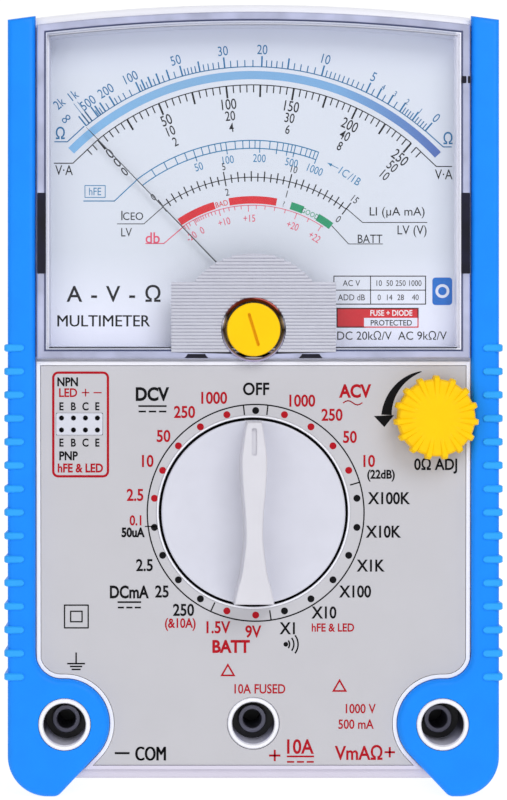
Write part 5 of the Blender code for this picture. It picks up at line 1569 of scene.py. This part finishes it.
def make_floor():
    """A pale sweep: a floor that curves up into a backdrop well behind the meter."""
    sweep = bmesh.new()
    front_edge, bend_start, radius, top, half_width = -1.2, 0.9, 0.5, 2.4, 2.5
    bend = [(bend_start + radius * math.sin(t), radius - radius * math.cos(t))
            for t in spread(0.0, math.pi / 2.0, 16)]
    profile = [(front_edge, 0.0), *bend, (bend_start + radius, top)]
    rows = [[sweep.verts.new((x, y, z)) for y, z in profile] for x in (-half_width, half_width)]
    for i in range(len(profile) - 1):
        face = sweep.faces.new((rows[0][i], rows[1][i], rows[1][i + 1], rows[0][i + 1]))
        face.smooth = True
    floor = as_object(sweep, "studio_sweep")
    floor.data.materials.append(SWEEP_PAPER)


def make_light(name, place, target, size, power):
    """A rectangular soft light that faces its target."""
    data = bpy.data.lights.new(name, "AREA")
    data.shape = "RECTANGLE"
    data.size, data.size_y = size
    data.energy = power
    obj = bpy.data.objects.new(name, data)
    obj.location = place
    obj.rotation_euler = (Vector(target) - Vector(place)).to_track_quat("-Z", "Y").to_euler()
    bpy.context.scene.collection.objects.link(obj)


def make_studio():
    """The sweep, a key light from the upper right, a fill light from the left and a pale surround."""
    make_floor()
    middle = (0.0, 0.0, 0.085)
    make_light("key", (0.4, -0.85, 0.85), middle, (0.7, 0.6), 6.6)
    make_light("fill", (-0.6, -0.9, 0.35), middle, (0.8, 0.8), 2.4)
    world = bpy.data.worlds.new("studio")
    world.use_nodes = True
    background = world.node_tree.nodes["Background"]
    background.inputs["Color"].default_value = (0.97, 0.98, 1.0, 1.0)
    background.inputs["Strength"].default_value = 0.38
    bpy.context.scene.world = world
    bpy.context.scene.view_settings.view_transform = "Standard"


def make_camera():
    """Looks straight at the front from a little left of the middle, at half the meter's height."""
    data = bpy.data.cameras.new("camera")
    data.sensor_width = 36.0
    data.lens = 106.3
    data.shift_x = 0.0986
    data.shift_y = -0.0286
    data.clip_start = 0.05
    data.clip_end = 20.0
    obj = bpy.data.objects.new("camera", data)
    obj.location = (-16.7 * MM, -516.0 * MM, 88.9 * MM)
    obj.rotation_euler = (math.radians(90.0), 0.0, 0.0)
    bpy.context.scene.collection.objects.link(obj)
    bpy.context.scene.camera = obj


make_case_front()
make_case_rear()
make_grip(-1, "left")
make_grip(1, "right")
make_label()
make_lens()
make_lens_band()
make_lens_marks()
make_pointer()
make_zero_cap()
make_knob_disc()
make_knob_handle()
make_knob_well()
make_ohm_knob()
for jack in JACKS:
    make_jack(jack)
make_socket()
for corner_name in ("lower_left", "lower_right", "upper_left", "upper_right"):
    make_screw(f"case_screw_{corner_name}", 2.7 * MM, "housing")
make_screw("cover_screw", 2.2 * MM, "battery_door")
make_battery_cover()
make_panel_prints()
make_dial_prints()
repaint()
make_studio()
make_camera()
